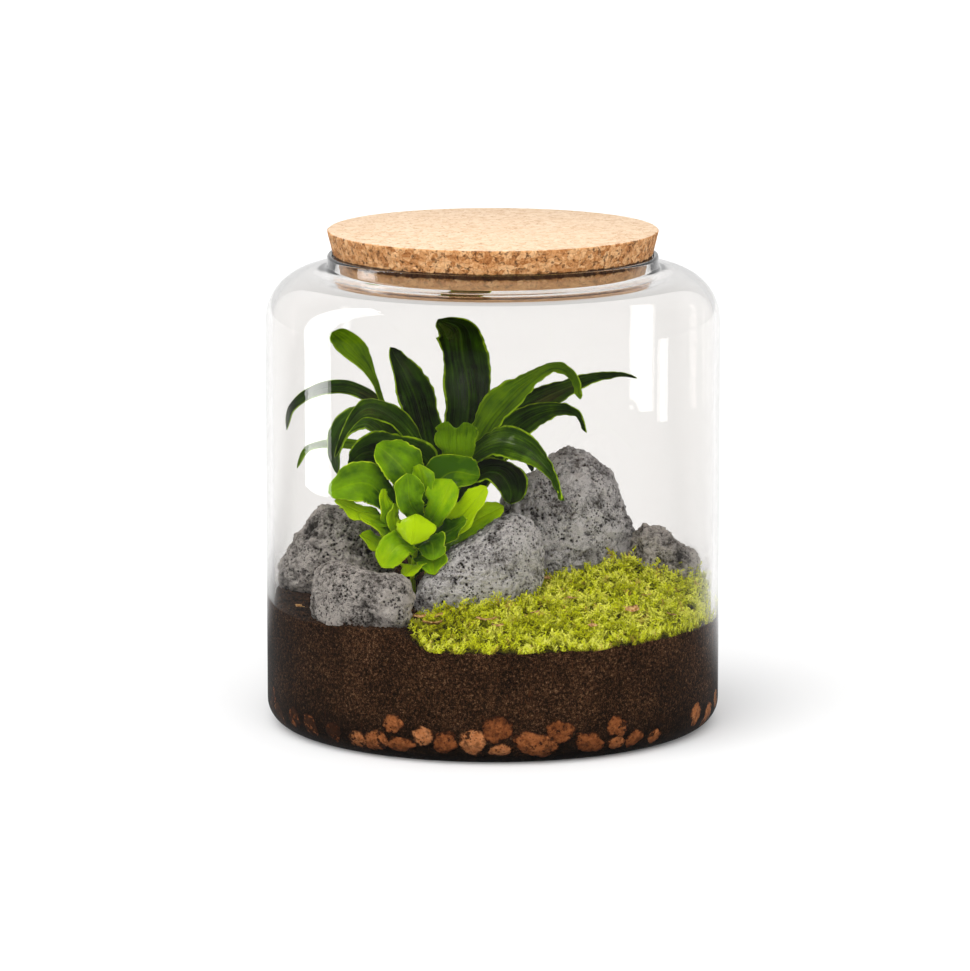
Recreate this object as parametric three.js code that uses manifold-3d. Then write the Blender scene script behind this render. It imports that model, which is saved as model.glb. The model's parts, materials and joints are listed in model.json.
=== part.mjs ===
// A closed glass terrarium: a blown jar with a cork lid, clay pebbles, soil, five lava stones,
// a moss carpet and two leafy plants. Millimetres, +Z up, origin at the centre of the jar's foot.
// The photographed front of the jar faces -Y.

import * as THREE from 'three';
import { mergeVertices } from 'three/addons/utils/BufferGeometryUtils.js';
import Module from 'manifold-3d';

const wasm = await Module();
wasm.setup();

// Driving dimensions of the jar and its lid
const JAR_RADIUS = 105;
const WALL = 3.2;
const FLOOR = 4.6;
const FOOT_CORNER = 11;
const FOOT_RING_INNER = 56;
const FOOT_PUNT = 1.2;
const SHOULDER_START = 187;
const SHOULDER_TOP = 211.5;
const SHOULDER_RADIUS = 81;
const LIP_TOP = 215;
const LIP_OUTER = 77.2;
const LIP_INNER = 74.1;
const LID_TOP = 229.9;
const LID_BOTTOM = 208.3;
const LID_TOP_RADIUS = 76.5;
const LID_BOTTOM_RADIUS = 72.6;
const LID_EDGE = 0.7;
const ROUND_SIDES = 32;

// Clearance between neighbours, and the room inside the glass
const GAP = 0.3;
const GROW = 0.36;
const ROOM_RADIUS = JAR_RADIUS - WALL - GAP;
const ROOM_FLOOR = FLOOR + GAP;
const ROOM_CORNER = 7.7;

// Filling
const PEBBLE_CORE_RADIUS = 92.5;
const SOIL_BOTTOM = 17;
const PEBBLE_SEED = 71;
const MOSS_PAD = 3.2;
const MOSS_SPACING = 8.7;
const MOSS_SEED = 5;
const LEAF_THICKNESS = 0.85;
const ROOT_DEPTH = 46;
const STEM_AT = [-20, 5];
const STEM_TOP = 114;
const STEM_RADIUS = 4.2;
const LEAF_SEAT = STEM_RADIUS + GAP + LEAF_THICKNESS;
const SHOOT_RADIUS = 1.3;
const VIEW_TILT = THREE.MathUtils.degToRad(10);

const glassLook = { color: '#e9eceb', roughness: 0.02, metalness: 0 };
const corkLook = { color: '#cc9565', roughness: 0.85, metalness: 0 };
const soilLook = { color: '#3c271a', roughness: 0.95, metalness: 0 };
const clayLook = { color: '#86512f', roughness: 0.85, metalness: 0 };
const stoneLook = { color: '#7d756d', roughness: 0.9, metalness: 0 };
const mossLook = { color: '#8f8e24', roughness: 0.8, metalness: 0 };
const darkLeafLook = { color: '#29330e', roughness: 0.35, metalness: 0 };
const stemLook = { color: '#4c5a1c', roughness: 0.6, metalness: 0 };
const brightLeafLook = { color: '#729709', roughness: 0.4, metalness: 0 };

const terrarium = new THREE.Group();

function addMesh(name, geometry, look) {
  const mesh = new THREE.Mesh(geometry, new THREE.MeshStandardMaterial(look));
  mesh.name = name;
  terrarium.add(mesh);
}

// Small helpers: seeded random numbers, smooth steps, closed meshes as solids and back

function randomSource(seed) {
  let state = seed;
  return () => {
    state = (state * 16807) % 2147483647;
    return state / 2147483647;
  };
}

function smooth(from, to, value) {
  const t = Math.min(Math.max((value - from) / (to - from), 0), 1);
  return t * t * (3 - 2 * t);
}

function mix(a, b, t) {
  return a + (b - a) * t;
}

function solidOf(geometry) {
  const bare = geometry.clone();
  bare.deleteAttribute('normal');
  bare.deleteAttribute('uv');
  const merged = mergeVertices(bare, 1e-4);
  return new wasm.Manifold(
    new wasm.Mesh({
      numProp: 3,
      vertProperties: new Float32Array(merged.attributes.position.array),
      triVerts: new Uint32Array(merged.index.array),
    }),
  );
}

function geometryOf(solid) {
  const mesh = solid.getMesh();
  const geometry = new THREE.BufferGeometry();
  geometry.setAttribute('position', new THREE.BufferAttribute(mesh.vertProperties, 3));
  geometry.setIndex(new THREE.BufferAttribute(mesh.triVerts, 1));
  geometry.computeVertexNormals();
  return geometry;
}

function largestBody(solid) {
  const bodies = solid.decompose();
  return bodies.reduce((best, body) => (body.volume() > best.volume() ? body : best));
}

function unionOf(solids) {
  return solids.reduce((whole, solid) => whole.add(solid));
}

function lathe(profile, sides = ROUND_SIDES) {
  const points = profile.map(([radius, height]) => new THREE.Vector2(radius, height));
  const geometry = new THREE.LatheGeometry(points, sides);
  geometry.rotateX(Math.PI / 2);
  return geometry;
}

// Points on an arc in the plane of a lathe profile, angles in degrees from the outward radius
function arc(centreRadius, centreHeight, radius, from, to, steps) {
  return Array.from({ length: steps + 1 }, (_, i) => {
    const angle = THREE.MathUtils.degToRad(mix(from, to, i / steps));
    return [centreRadius + radius * Math.cos(angle), centreHeight + radius * Math.sin(angle)];
  });
}

// The jar: the outside from the foot to the lip, then the inside back down to the floor

function shoulderPoints(inset, steps) {
  const width = JAR_RADIUS - SHOULDER_RADIUS;
  const height = SHOULDER_TOP - SHOULDER_START;
  return Array.from({ length: steps + 1 }, (_, i) => {
    const angle = (i / steps) * (Math.PI / 2);
    const out = SHOULDER_RADIUS + (width - inset) * Math.cos(angle) ** 0.96;
    return [out, SHOULDER_START + (height - inset) * Math.sin(angle) ** 0.96];
  });
}

function jarProfile() {
  const inner = JAR_RADIUS - WALL;
  const outside = [
    [0, FOOT_PUNT],
    [FOOT_RING_INNER - 8, FOOT_PUNT],
    [FOOT_RING_INNER, 0],
    ...arc(JAR_RADIUS - FOOT_CORNER, FOOT_CORNER, FOOT_CORNER, -90, 0, 4),
    ...shoulderPoints(0, 6),
    [LIP_OUTER + 0.6, SHOULDER_TOP + 0.4],
    [LIP_OUTER, SHOULDER_TOP + 1.6],
    [LIP_OUTER - 0.5, LIP_TOP - 0.5],
    [LIP_OUTER - 1.3, LIP_TOP],
    [LIP_INNER + 0.8, LIP_TOP],
    [LIP_INNER, LIP_TOP - 0.8],
    [LIP_INNER, SHOULDER_TOP],
    [LIP_INNER + 1.4, SHOULDER_TOP - 2.6],
  ];
  const inside = shoulderPoints(WALL, 5).reverse();
  const corner = ROOM_CORNER + GAP;
  const floor = arc(inner - corner, FLOOR + corner, corner, 0, -90, 3);
  return [...outside, ...inside, ...floor, [0, FLOOR]];
}

addMesh('glass_jar', lathe(jarProfile()), glassLook);

addMesh(
  'cork_lid',
  lathe([
    [0, LID_BOTTOM],
    [LID_BOTTOM_RADIUS - LID_EDGE, LID_BOTTOM],
    [LID_BOTTOM_RADIUS, LID_BOTTOM + LID_EDGE],
    [LID_TOP_RADIUS, LID_TOP - LID_EDGE],
    [LID_TOP_RADIUS - LID_EDGE, LID_TOP],
    [0, LID_TOP],
  ]),
  corkLook,
);

// Height of the soil at a place: a shelf at the left, a moss bank that climbs to the back right
function soilTop(x, y) {
  const frontGlass = -Math.sqrt(Math.max(ROOM_RADIUS ** 2 - x * x, 0));
  const climb = Math.min(Math.max((y - frontGlass) / 85, 0), 1) ** 0.9;
  const bank = 51.5 + (8 + 8 * smooth(20, 60, x)) * climb;
  const shelf = 59.5 + 1.6 * Math.sin(0.05 * y + 1);
  const front = mix(shelf, bank, smooth(-46, -26, x));
  const bumps = 0.6 * Math.sin(0.23 * x + 0.4) * Math.sin(0.19 * y);
  return mix(front, 60, smooth(20, 70, y)) + bumps;
}

// A layer over the whole jar between two heights that are given at each place. It shares its grid
// with every other layer, so two layers stay parallel.
function layer(bottomAt, topAt) {
  const rings = [20, 38, 54, 68, 80, 91, ROOM_RADIUS];
  const positions = [];
  const indices = [];
  const put = (x, y, heightAt) => positions.push(x, y, heightAt(x, y)) / 3 - 1;
  const sheet = (heightAt) => {
    const rows = [[put(0, 0, heightAt)]];
    rings.forEach((radius) => {
      const row = [];
      for (let i = 0; i < ROUND_SIDES; i += 1) {
        const angle = (i / ROUND_SIDES) * Math.PI * 2;
        row.push(put(radius * Math.sin(angle), radius * Math.cos(angle), heightAt));
      }
      rows.push(row);
    });
    return rows;
  };
  const fill = (rows, flip) => {
    const face = (a, b, c) => indices.push(...(flip ? [a, c, b] : [a, b, c]));
    rings.forEach((_, ring) => {
      const inner = rows[ring];
      const outer = rows[ring + 1];
      outer.forEach((vertex, i) => {
        const next = outer[(i + 1) % ROUND_SIDES];
        if (ring === 0) {
          face(inner[0], next, vertex);
        } else {
          face(inner[i], next, vertex);
          face(inner[i], inner[(i + 1) % ROUND_SIDES], next);
        }
      });
    });
    return rows[rings.length];
  };
  const topRim = fill(sheet(topAt), false);
  const bottomRim = fill(sheet(bottomAt), true);
  topRim.forEach((vertex, i) => {
    const next = (i + 1) % ROUND_SIDES;
    indices.push(vertex, topRim[next], bottomRim[i]);
    indices.push(topRim[next], bottomRim[next], bottomRim[i]);
  });
  const geometry = new THREE.BufferGeometry();
  geometry.setAttribute('position', new THREE.Float32BufferAttribute(positions, 3));
  geometry.setIndex(indices);
  return solidOf(geometry);
}

// The room inside the glass, which the pebbles and the soil fill from the floor up
const roomProfile = [
  [0, ROOM_FLOOR],
  ...arc(ROOM_RADIUS - ROOM_CORNER, ROOM_FLOOR + ROOM_CORNER, ROOM_CORNER, -90, 0, 3),
  [ROOM_RADIUS, SHOULDER_START],
  [0, SHOULDER_START],
];
const room = solidOf(lathe(roomProfile));

// Stones. Each outline is what the front shows, in millimetres right of and above the stone's
// centre. front and back are its half depths, and slant turns its left end to the front.
const stones = [
  {
    name: 'stone_left_back',
    centre: [-73, 8, 75],
    outline: [
      [29, 2], [24, 8], [12, 19], [2, 23], [-7, 24], [-15, 13], [-23, 5], [-28, -6],
      [-26, -16], [-10, -22], [8, -21], [22, -14],
    ],
    front: 22,
    back: 22,
    slant: 0,
    seed: 1,
  },
  {
    name: 'stone_left_front',
    centre: [-59, -63, 69],
    outline: [
      [22, 4.5], [17, 10.5], [6, 12], [-8, 17], [-17, 16], [-21, 11], [-22, -9],
      [-15, -17], [2, -18], [15, -17], [21, -12],
    ],
    front: 17,
    back: 18,
    slant: -0.45,
    seed: 2,
  },
  {
    name: 'stone_middle',
    centre: [-5, -22, 74.5],
    outline: [
      [29.5, 5], [28, 16], [22, 25], [13, 27], [-1, 18.5], [-15, 9], [-26, -2], [-32, -13],
      [-28, -25], [-12, -30], [8, -27], [24, -16],
    ],
    front: 19,
    back: 18,
    slant: 0.35,
    seed: 3,
  },
  {
    name: 'stone_peak',
    centre: [35, 32, 88],
    outline: [
      [31, -2], [28, 5], [25, 14], [20, 23.5], [10, 31], [3, 34], [-4, 33], [-15.5, 23.5],
      [-22.5, 19], [-31, 9], [-31, -9], [-27, -26], [-10, -35], [12, -35], [28, -24],
    ],
    front: 24,
    back: 26,
    slant: 0,
    seed: 4,
  },
  {
    name: 'stone_right',
    centre: [82, 18, 71],
    outline: [
      [16, -3], [13.5, 4], [5.6, 9], [-1.4, 15], [-8.4, 18.5], [-15, 16.5], [-17, 4],
      [-15, -12], [0, -17], [13, -13],
    ],
    front: 14,
    back: 16,
    slant: 0.1,
    seed: 5,
  },
];

// How far the stone reaches from its centre at each angle round its outline
function outlineReach(outline) {
  const points = outline.map(([across, up]) => new THREE.Vector3(across, up, 0));
  const curve = new THREE.CatmullRomCurve3(points, true, 'centripetal');
  const samples = curve
    .getPoints(120)
    .map((point) => [Math.atan2(point.y, point.x), Math.hypot(point.x, point.y)])
    .sort((a, b) => a[0] - b[0]);
  return (angle) => {
    const after = samples.findIndex(([sample]) => sample > angle);
    const next = samples[after < 0 ? 0 : after];
    const last = samples[(after < 0 ? samples.length : after || samples.length) - 1];
    const turn = (value) => (value + Math.PI * 4) % (Math.PI * 2);
    const share = turn(angle - last[0]) / Math.max(turn(next[0] - last[0]), 1e-6);
    return mix(last[1], next[1], Math.min(share, 1));
  };
}

// Lumps on a stone, as a share of its size
function lumps(direction, seed) {
  const { x, y, z } = direction;
  const broad = Math.sin(3.1 * x + 2.3 * y + seed) * Math.sin(2.7 * z - 1.9 * y + 2 * seed);
  const small = Math.sin(7.3 * x - 5.1 * z + 3 * seed) * Math.sin(6.1 * y + 4.3 * z + seed);
  return 0.045 * broad + 0.035 * small;
}

function stoneSolid({ centre, outline, front, back, slant, seed }, grow = 0) {
  const geometry = new THREE.IcosahedronGeometry(1, 3);
  geometry.deleteAttribute('normal');
  geometry.deleteAttribute('uv');
  const merged = mergeVertices(geometry, 1e-4);
  const positions = merged.attributes.position;
  const reachAt = outlineReach(outline);
  const direction = new THREE.Vector3();
  for (let i = 0; i < positions.count; i += 1) {
    direction.fromBufferAttribute(positions, i).normalize();
    const flat = Math.hypot(direction.x, direction.z);
    const reach = reachAt(Math.atan2(direction.z, direction.x));
    const size = 1 + lumps(direction, seed) * (0.35 + 0.65 * Math.abs(direction.y));
    const round = flat ** 0.8;
    const across = direction.x * (reach * size * (round / Math.max(flat, 1e-6)) + grow);
    const up = direction.z * (reach * size * (round / Math.max(flat, 1e-6)) + grow);
    const depth = direction.y * ((direction.y < 0 ? front : back) * size + grow) + slant * across;
    positions.setXYZ(
      i,
      centre[0] + across,
      centre[1] + depth * Math.cos(VIEW_TILT) + up * Math.sin(VIEW_TILT),
      centre[2] + up * Math.cos(VIEW_TILT) - depth * Math.sin(VIEW_TILT),
    );
  }
  return solidOf(merged);
}

const stoneSolids = [];
const grownStones = [];
stones.forEach((stone) => {
  let solid = stoneSolid(stone).intersect(room);
  grownStones.forEach((neighbour) => {
    solid = solid.subtract(neighbour);
  });
  stoneSolids.push(largestBody(solid));
  grownStones.push(stoneSolid(stone, GROW));
});
stones.forEach((stone, i) => addMesh(stone.name, geometryOf(stoneSolids[i]), stoneLook));

// Pebbles. Those that the front shows: degrees right of the front, height of the middle, length
const frontPebbles = [
  [-45, 10, 11], [-37, 9, 12], [-31, 10, 16], [-26, 17, 12], [-24, 9, 16], [-18, 13, 12],
  [-12, 11, 14], [-5, 12, 15], [1, 17, 18], [2, 8, 12], [10, 11, 26], [17, 15, 17],
  [25, 10, 20], [33, 15, 15], [33, 8, 11], [39, 9, 11], [46, 8, 9], [64, 12, 13],
  [73, 10, 13], [81, 13, 11], [89, 11, 10],
];

function pebbleRing() {
  const random = randomSource(PEBBLE_SEED);
  const ring = [...frontPebbles];
  for (let angle = 101; angle < 310; angle += 15) {
    const length = mix(13, 18, random());
    ring.push([angle, mix(9, 10.5, random()), length]);
  }
  return ring;
}

function pebbleSolid([angle, height, length], grow = 0) {
  const geometry = new THREE.DodecahedronGeometry(1);
  const tall = Math.min(length * 0.85, 2 * (height - ROOM_FLOOR));
  const deep = Math.min(length, 15) * 0.85;
  geometry.rotateX(angle);
  geometry.rotateY(height);
  geometry.scale(length / 2 + grow, deep / 2 + grow, tall / 2 + grow);
  geometry.translate(0, -(ROOM_RADIUS - 1.2 - deep / 2), height);
  geometry.rotateZ(THREE.MathUtils.degToRad(angle));
  return solidOf(geometry);
}

function pebbleLayer() {
  const core = lathe(
    [
      [0, ROOM_FLOOR],
      [PEBBLE_CORE_RADIUS - 2, ROOM_FLOOR],
      [PEBBLE_CORE_RADIUS, ROOM_FLOOR + 2],
      [PEBBLE_CORE_RADIUS, SOIL_BOTTOM - GAP],
      [0, SOIL_BOTTOM - GAP],
    ],
    24,
  );
  const pebbles = pebbleRing().map((item) => pebbleSolid(item));
  return unionOf([solidOf(core), ...pebbles]).intersect(room);
}

addMesh('clay_pebbles', geometryOf(largestBody(pebbleLayer())), clayLook);

// Plants grow from plain holes in the soil
const shootRoots = [
  { at: STEM_AT, radius: STEM_RADIUS + 0.4 },
  { at: [-37, -5], radius: SHOOT_RADIUS + 0.4 },
  { at: [-31, -8], radius: SHOOT_RADIUS + 0.4 },
  { at: [-37, -17], radius: SHOOT_RADIUS + 0.4 },
];
function rootHole({ at, radius }) {
  const hole = new THREE.CylinderGeometry(radius + 0.6, radius + 0.6, 60, 12);
  hole.rotateX(Math.PI / 2);
  hole.translate(at[0], at[1], ROOT_DEPTH - GAP + 30);
  return solidOf(hole);
}

let soil = layer(() => SOIL_BOTTOM, soilTop).intersect(room);
pebbleRing()
  .filter(([, height, length]) => height + length / 2 > SOIL_BOTTOM)
  .forEach((item) => {
    soil = soil.subtract(pebbleSolid(item, GROW));
  });
[...grownStones, ...shootRoots.map(rootHole)].forEach((neighbour) => {
  soil = soil.subtract(neighbour);
});
addMesh('soil', geometryOf(largestBody(soil)), soilLook);

// Moss: a pad that follows the soil, cut to its outline seen from above, with leaning shoots
const mossOutline = [
  [-36, -78], [-30, -96], [0, -110], [60, -100], [105, -60], [112, 0], [100, 21], [84, 14],
  [60, 8], [36, 6], [18, -4], [2, -30], [-18, -38], [-30, -52],
];

function mossPrism() {
  const shape = new THREE.Shape(mossOutline.map(([x, y]) => new THREE.Vector2(x, y)));
  const prism = new THREE.ExtrudeGeometry(shape, { depth: 60, bevelEnabled: false });
  prism.translate(0, 0, 35);
  return solidOf(prism);
}

function insideOutline(x, y, outline) {
  let inside = false;
  outline.forEach(([ax, ay], i) => {
    const [bx, by] = outline[(i + 1) % outline.length];
    if (ay > y !== by > y && x < ((bx - ax) * (y - ay)) / (by - ay) + ax) {
      inside = !inside;
    }
  });
  return inside;
}

function insideSolid(solid, x, y, z, reach) {
  const probe = new THREE.OctahedronGeometry(reach);
  probe.translate(x, y, z);
  return solid.intersect(solidOf(probe)).volume() > 0;
}

function mossShoot(x, y, random) {
  const height = mix(5.5, 8, random()) + MOSS_PAD * 0.6;
  const shoot = new THREE.ConeGeometry(mix(2.4, 3.1, random()), height, 3);
  shoot.rotateX(Math.PI / 2);
  shoot.translate(0, 0, height / 2);
  shoot.rotateZ(random() * 6);
  shoot.rotateX((random() - 0.5) * 0.8);
  shoot.rotateY((random() - 0.5) * 0.8);
  shoot.translate(x, y, soilTop(x, y) + MOSS_PAD * 0.4);
  return solidOf(shoot);
}

function mossCarpet() {
  const random = randomSource(MOSS_SEED);
  const pad = layer(
    (x, y) => soilTop(x, y) + GAP,
    (x, y) => soilTop(x, y) + MOSS_PAD,
  );
  const shoots = [];
  const rowHeight = MOSS_SPACING * 0.87;
  for (let row = 0; row * rowHeight < 130; row += 1) {
    for (let column = 0; column * MOSS_SPACING < 145; column += 1) {
      const x = -38 + (column + (row % 2) / 2 + 0.4 * (random() - 0.5)) * MOSS_SPACING;
      const y = -99 + (row + 0.4 * (random() - 0.5)) * rowHeight;
      const clear = stoneSolids.every((stone) => !insideSolid(stone, x, y, soilTop(x, y) + 4, 5));
      if (insideOutline(x, y, mossOutline) && Math.hypot(x, y) < ROOM_RADIUS - 4 && clear) {
        shoots.push(mossShoot(x, y, random));
      }
    }
  }
  const aboveSoil = layer(
    (x, y) => soilTop(x, y) + GAP,
    (x, y) => soilTop(x, y) + MOSS_PAD + 20,
  );
  let carpet = pad.intersect(mossPrism());
  grownStones.forEach((stone) => {
    carpet = carpet.subtract(stone);
  });
  return largestBody(unionOf([carpet, ...shoots]).intersect(aboveSoil));
}

addMesh('moss_carpet', geometryOf(mossCarpet()), mossLook);

// Leaf outlines: share of the length, share of the full width
const widthShapes = {
  strap: [[0, 0.2], [0.16, 0.6], [0.38, 1], [0.68, 0.92], [0.86, 0.6], [1, 0.12]],
  tall: [[0, 0.18], [0.2, 0.72], [0.42, 1], [0.8, 0.95], [0.9, 0.78], [1, 0.22]],
  spoon: [[0, 0.24], [0.62, 0.22], [0.72, 0.4], [0.85, 1], [0.94, 0.9], [1, 0.3]],
  oval: [[0, 0.15], [0.22, 0.66], [0.5, 1], [0.76, 0.88], [0.9, 0.55], [1, 0.15]],
  cupped: [[0, 0.2], [0.2, 0.4], [0.45, 0.76], [0.7, 1], [0.88, 0.85], [1, 0.3]],
  heart: [[0, 0.2], [0.25, 0.45], [0.55, 0.86], [0.8, 1], [0.92, 0.9], [1, 0.5]],
  tailed: [[0, 0.2], [0.18, 0.7], [0.42, 1], [0.62, 0.9], [0.76, 0.5], [0.87, 0.24], [1, 0.12]],
  arched: [[0, 0.24], [0.16, 0.7], [0.34, 1], [0.52, 0.92], [0.66, 0.5], [0.78, 0.36], [1, 0.18]],
};

function widthAt(shape, t) {
  const points = widthShapes[shape];
  const last = points.findIndex(([share]) => share >= t);
  const [toShare, toWidth] = points[Math.max(last, 1)];
  const [fromShare, fromWidth] = points[Math.max(last, 1) - 1];
  return mix(fromWidth, toWidth, smooth(fromShare, toShare, t));
}

// One leaf blade along its rib. face is the way its upper side looks where it starts, fold lifts
// both halves towards that side, and wave ruffles the margins.
function blade({ rib, width, face, shape, fold = 0.2, wave = 0.8, waves = 2.5 }, steps, across) {
  const curve = new THREE.CatmullRomCurve3(rib.map((point) => new THREE.Vector3(...point)));
  const normal = new THREE.Vector3(...face);
  const positions = [];
  const indices = [];
  const half = across / 2;
  for (let i = 0; i <= steps; i += 1) {
    const t = i / steps;
    const along = curve.getTangentAt(t);
    const centre = curve.getPointAt(t);
    normal.addScaledVector(along, -normal.dot(along)).normalize();
    const side = along.clone().cross(normal);
    const reach = (width / 2) * widthAt(shape, t);
    for (let j = -half; j <= half; j += 1) {
      const share = j / half;
      const ruffle = wave * Math.sin(Math.PI * 2 * waves * t + (share > 0 ? 1.3 : 0));
      const ruffled = ruffle * widthAt(shape, t) * Math.abs(share);
      const lift = Math.abs(share) * (reach * Math.sin(fold) + ruffled);
      const point = centre
        .clone()
        .addScaledVector(side, share * reach * Math.cos(fold))
        .addScaledVector(normal, lift);
      [LEAF_THICKNESS / 2, -LEAF_THICKNESS / 2].forEach((rise) => {
        const skin = point.clone().addScaledVector(normal, rise);
        positions.push(skin.x, skin.y, skin.z);
      });
    }
  }
  const at = (i, j, under) => (i * (across + 1) + j) * 2 + under;
  const quad = (a, b, c, d) => indices.push(a, b, c, a, c, d);
  for (let i = 0; i < steps; i += 1) {
    for (let j = 0; j < across; j += 1) {
      quad(at(i, j, 0), at(i, j + 1, 0), at(i + 1, j + 1, 0), at(i + 1, j, 0));
      indices.push(at(i, j, 1), at(i + 1, j + 1, 1), at(i, j + 1, 1));
      indices.push(at(i, j, 1), at(i + 1, j, 1), at(i + 1, j + 1, 1));
    }
    quad(at(i, 0, 0), at(i + 1, 0, 0), at(i + 1, 0, 1), at(i, 0, 1));
    quad(at(i, across, 1), at(i + 1, across, 1), at(i + 1, across, 0), at(i, across, 0));
  }
  for (let j = 0; j < across; j += 1) {
    quad(at(0, j, 1), at(0, j + 1, 1), at(0, j + 1, 0), at(0, j, 0));
    quad(at(steps, j, 0), at(steps, j + 1, 0), at(steps, j + 1, 1), at(steps, j, 1));
  }
  const geometry = new THREE.BufferGeometry();
  geometry.setAttribute('position', new THREE.Float32BufferAttribute(positions, 3));
  geometry.setIndex(indices);
  geometry.computeVertexNormals();
  return geometry;
}

// The dark plant: an upright stem with strap leaves set round it. seat is where a leaf leaves the
// stem: degrees round it and the height.
const darkLeaves = [
  {
    name: 'dark_leaf_tall',
    seat: [66, 108],
    rib: [[-13, 17, 130], [-11, 16, 150], [-14, 12, 170], [-16, 6, 184], [-25, -2, 190]],
    width: 22,
    face: [0, -1, 0.2],
    shape: 'tall',
    fold: 0.18,
    wave: 1,
  },
  {
    name: 'dark_leaf_second',
    seat: [122, 104],
    rib: [[-29, 12, 122], [-33, 8, 140], [-37, 1, 155], [-43, -5, 168], [-47, -9, 176]],
    width: 18,
    face: [0.4, -1, 0.3],
    shape: 'strap',
    fold: 0.2,
  },
  {
    name: 'dark_leaf_spoon',
    seat: [165, 96],
    rib: [[-38, 10, 126], [-50, 12, 144], [-55, 15, 157], [-62, 18, 168], [-75, 21, 179]],
    width: 11.5,
    face: [0.4, -1, 0.3],
    shape: 'spoon',
    fold: 0.15,
    wave: 0.4,
  },
  {
    name: 'dark_leaf_far_left',
    seat: [150, 88],
    rib: [[-38, 18, 118], [-52, 21, 143], [-68, 19, 153], [-84, 12, 152], [-94, 6, 145], [-96, 2, 136]],
    width: 8,
    face: [0.3, -0.4, 1],
    shape: 'strap',
  },
  {
    name: 'dark_leaf_low_left',
    seat: [130, 80],
    rib: [[-42, 20, 112], [-58, 22, 124], [-76, 21, 126], [-87, 18, 124], [-92, 14, 116]],
    width: 7,
    face: [0.3, -0.4, 1],
    shape: 'strap',
    wave: 0.4,
  },
  {
    name: 'dark_leaf_arching',
    seat: [215, 108],
    rib: [[-33, -3, 126], [-42, -6, 139], [-51, -12, 147], [-59, -20, 149], [-67, -28, 141], [-72, -33, 129]],
    width: 12,
    face: [0.4, -0.6, 0.8],
    shape: 'tailed',
    wave: 1.1,
  },
  {
    name: 'dark_leaf_left',
    seat: [198, 90],
    rib: [[-35, -2, 112], [-48, -1, 134], [-58, 3, 141], [-68, 2, 137], [-73, -2, 126], [-72, -4, 116]],
    width: 14,
    face: [0.4, -0.7, 0.7],
    shape: 'strap',
  },
  {
    name: 'dark_leaf_front_left',
    seat: [228, 99],
    rib: [[-29, -5, 111], [-37, -11, 122], [-48, -15, 128], [-59, -21, 129], [-66, -27, 124]],
    width: 18,
    face: [0.2, -1, 0.9],
    shape: 'strap',
    wave: 1.4,
  },
  {
    name: 'dark_leaf_small_front',
    seat: [270, 112],
    rib: [[-18, -7, 120], [-17, -11, 128], [-17, -14, 136], [-17, -19, 143]],
    width: 19.5,
    face: [0, 1, 0.2],
    shape: 'heart',
    wave: 0.8,
  },
  {
    name: 'dark_leaf_right_tall',
    seat: [35, 108],
    rib: [[-10, 8, 124], [-2, 6, 139], [8, 4, 151], [18, 1, 160], [29, -2, 166], [37, -6, 162], [40, -9, 152]],
    width: 14,
    face: [-0.5, -1, 0.5],
    shape: 'arched',
    wave: 1.1,
  },
  {
    name: 'dark_leaf_far_right',
    seat: [50, 96],
    rib: [[-9, 16, 116], [4, 20, 133], [18, 22, 144], [32, 23, 151], [50, 22, 157], [64, 18, 157], [71, 12, 149]],
    width: 11.5,
    face: [-0.3, -1, 0.7],
    shape: 'tailed',
    wave: 1,
  },
  {
    name: 'dark_leaf_right',
    seat: [8, 92],
    rib: [[-7, 7, 112], [5, 11, 129], [17, 13, 139], [30, 10, 144], [39, 4, 143], [43, -1, 135]],
    width: 12.5,
    face: [-0.3, -1, 0.6],
    shape: 'tailed',
    wave: 1,
  },
  {
    name: 'dark_leaf_front_right',
    seat: [335, 110],
    rib: [[-9, -1, 124], [0, -9, 131], [9, -18, 133], [19, -27, 129], [27, -35, 121], [31, -40, 110]],
    width: 12.5,
    face: [-0.3, -0.5, 1],
    shape: 'tailed',
    wave: 1,
  },
  {
    name: 'dark_leaf_low_right',
    seat: [285, 92],
    rib: [[-14, -7, 106], [-5, -10, 117], [3, -14, 118], [8, -18, 111], [8, -20, 105]],
    width: 20,
    face: [-0.3, -0.3, 1],
    shape: 'oval',
    wave: 1.4,
  },
  {
    name: 'dark_leaf_back_left',
    seat: [118, 84],
    rib: [[-29, 26, 106], [-38, 41, 119], [-47, 56, 117], [-53, 68, 105]],
    width: 15,
    face: [0.2, -0.6, 1],
    shape: 'strap',
  },
  {
    name: 'dark_leaf_back',
    seat: [90, 92],
    rib: [[-19, 24, 112], [-16, 40, 119], [-12, 55, 113], [-10, 67, 99]],
    width: 16,
    face: [0, -0.6, 1],
    shape: 'strap',
  },
  {
    name: 'dark_leaf_back_right',
    seat: [58, 84],
    rib: [[-7, 21, 108], [4, 34, 120], [14, 48, 118], [19, 62, 106]],
    width: 15,
    face: [-0.2, -0.6, 1],
    shape: 'strap',
  },
  {
    name: 'dark_leaf_back_low',
    seat: [110, 76],
    rib: [[-30, 24, 96], [-38, 42, 104], [-44, 58, 98], [-47, 68, 86]],
    width: 13,
    face: [0.2, -0.6, 1],
    shape: 'strap',
  },
];

const stem = lathe(
  [
    [0, ROOT_DEPTH],
    [STEM_RADIUS - 1, ROOT_DEPTH],
    [STEM_RADIUS, ROOT_DEPTH + 3],
    [STEM_RADIUS, 84],
    [STEM_RADIUS - 0.35, 97],
    [STEM_RADIUS, STEM_TOP - 2],
    [STEM_RADIUS - 1.4, STEM_TOP],
    [0, STEM_TOP],
  ],
  12,
);
stem.translate(STEM_AT[0], STEM_AT[1], 0);
addMesh('dark_plant_stem', stem, stemLook);

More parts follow.
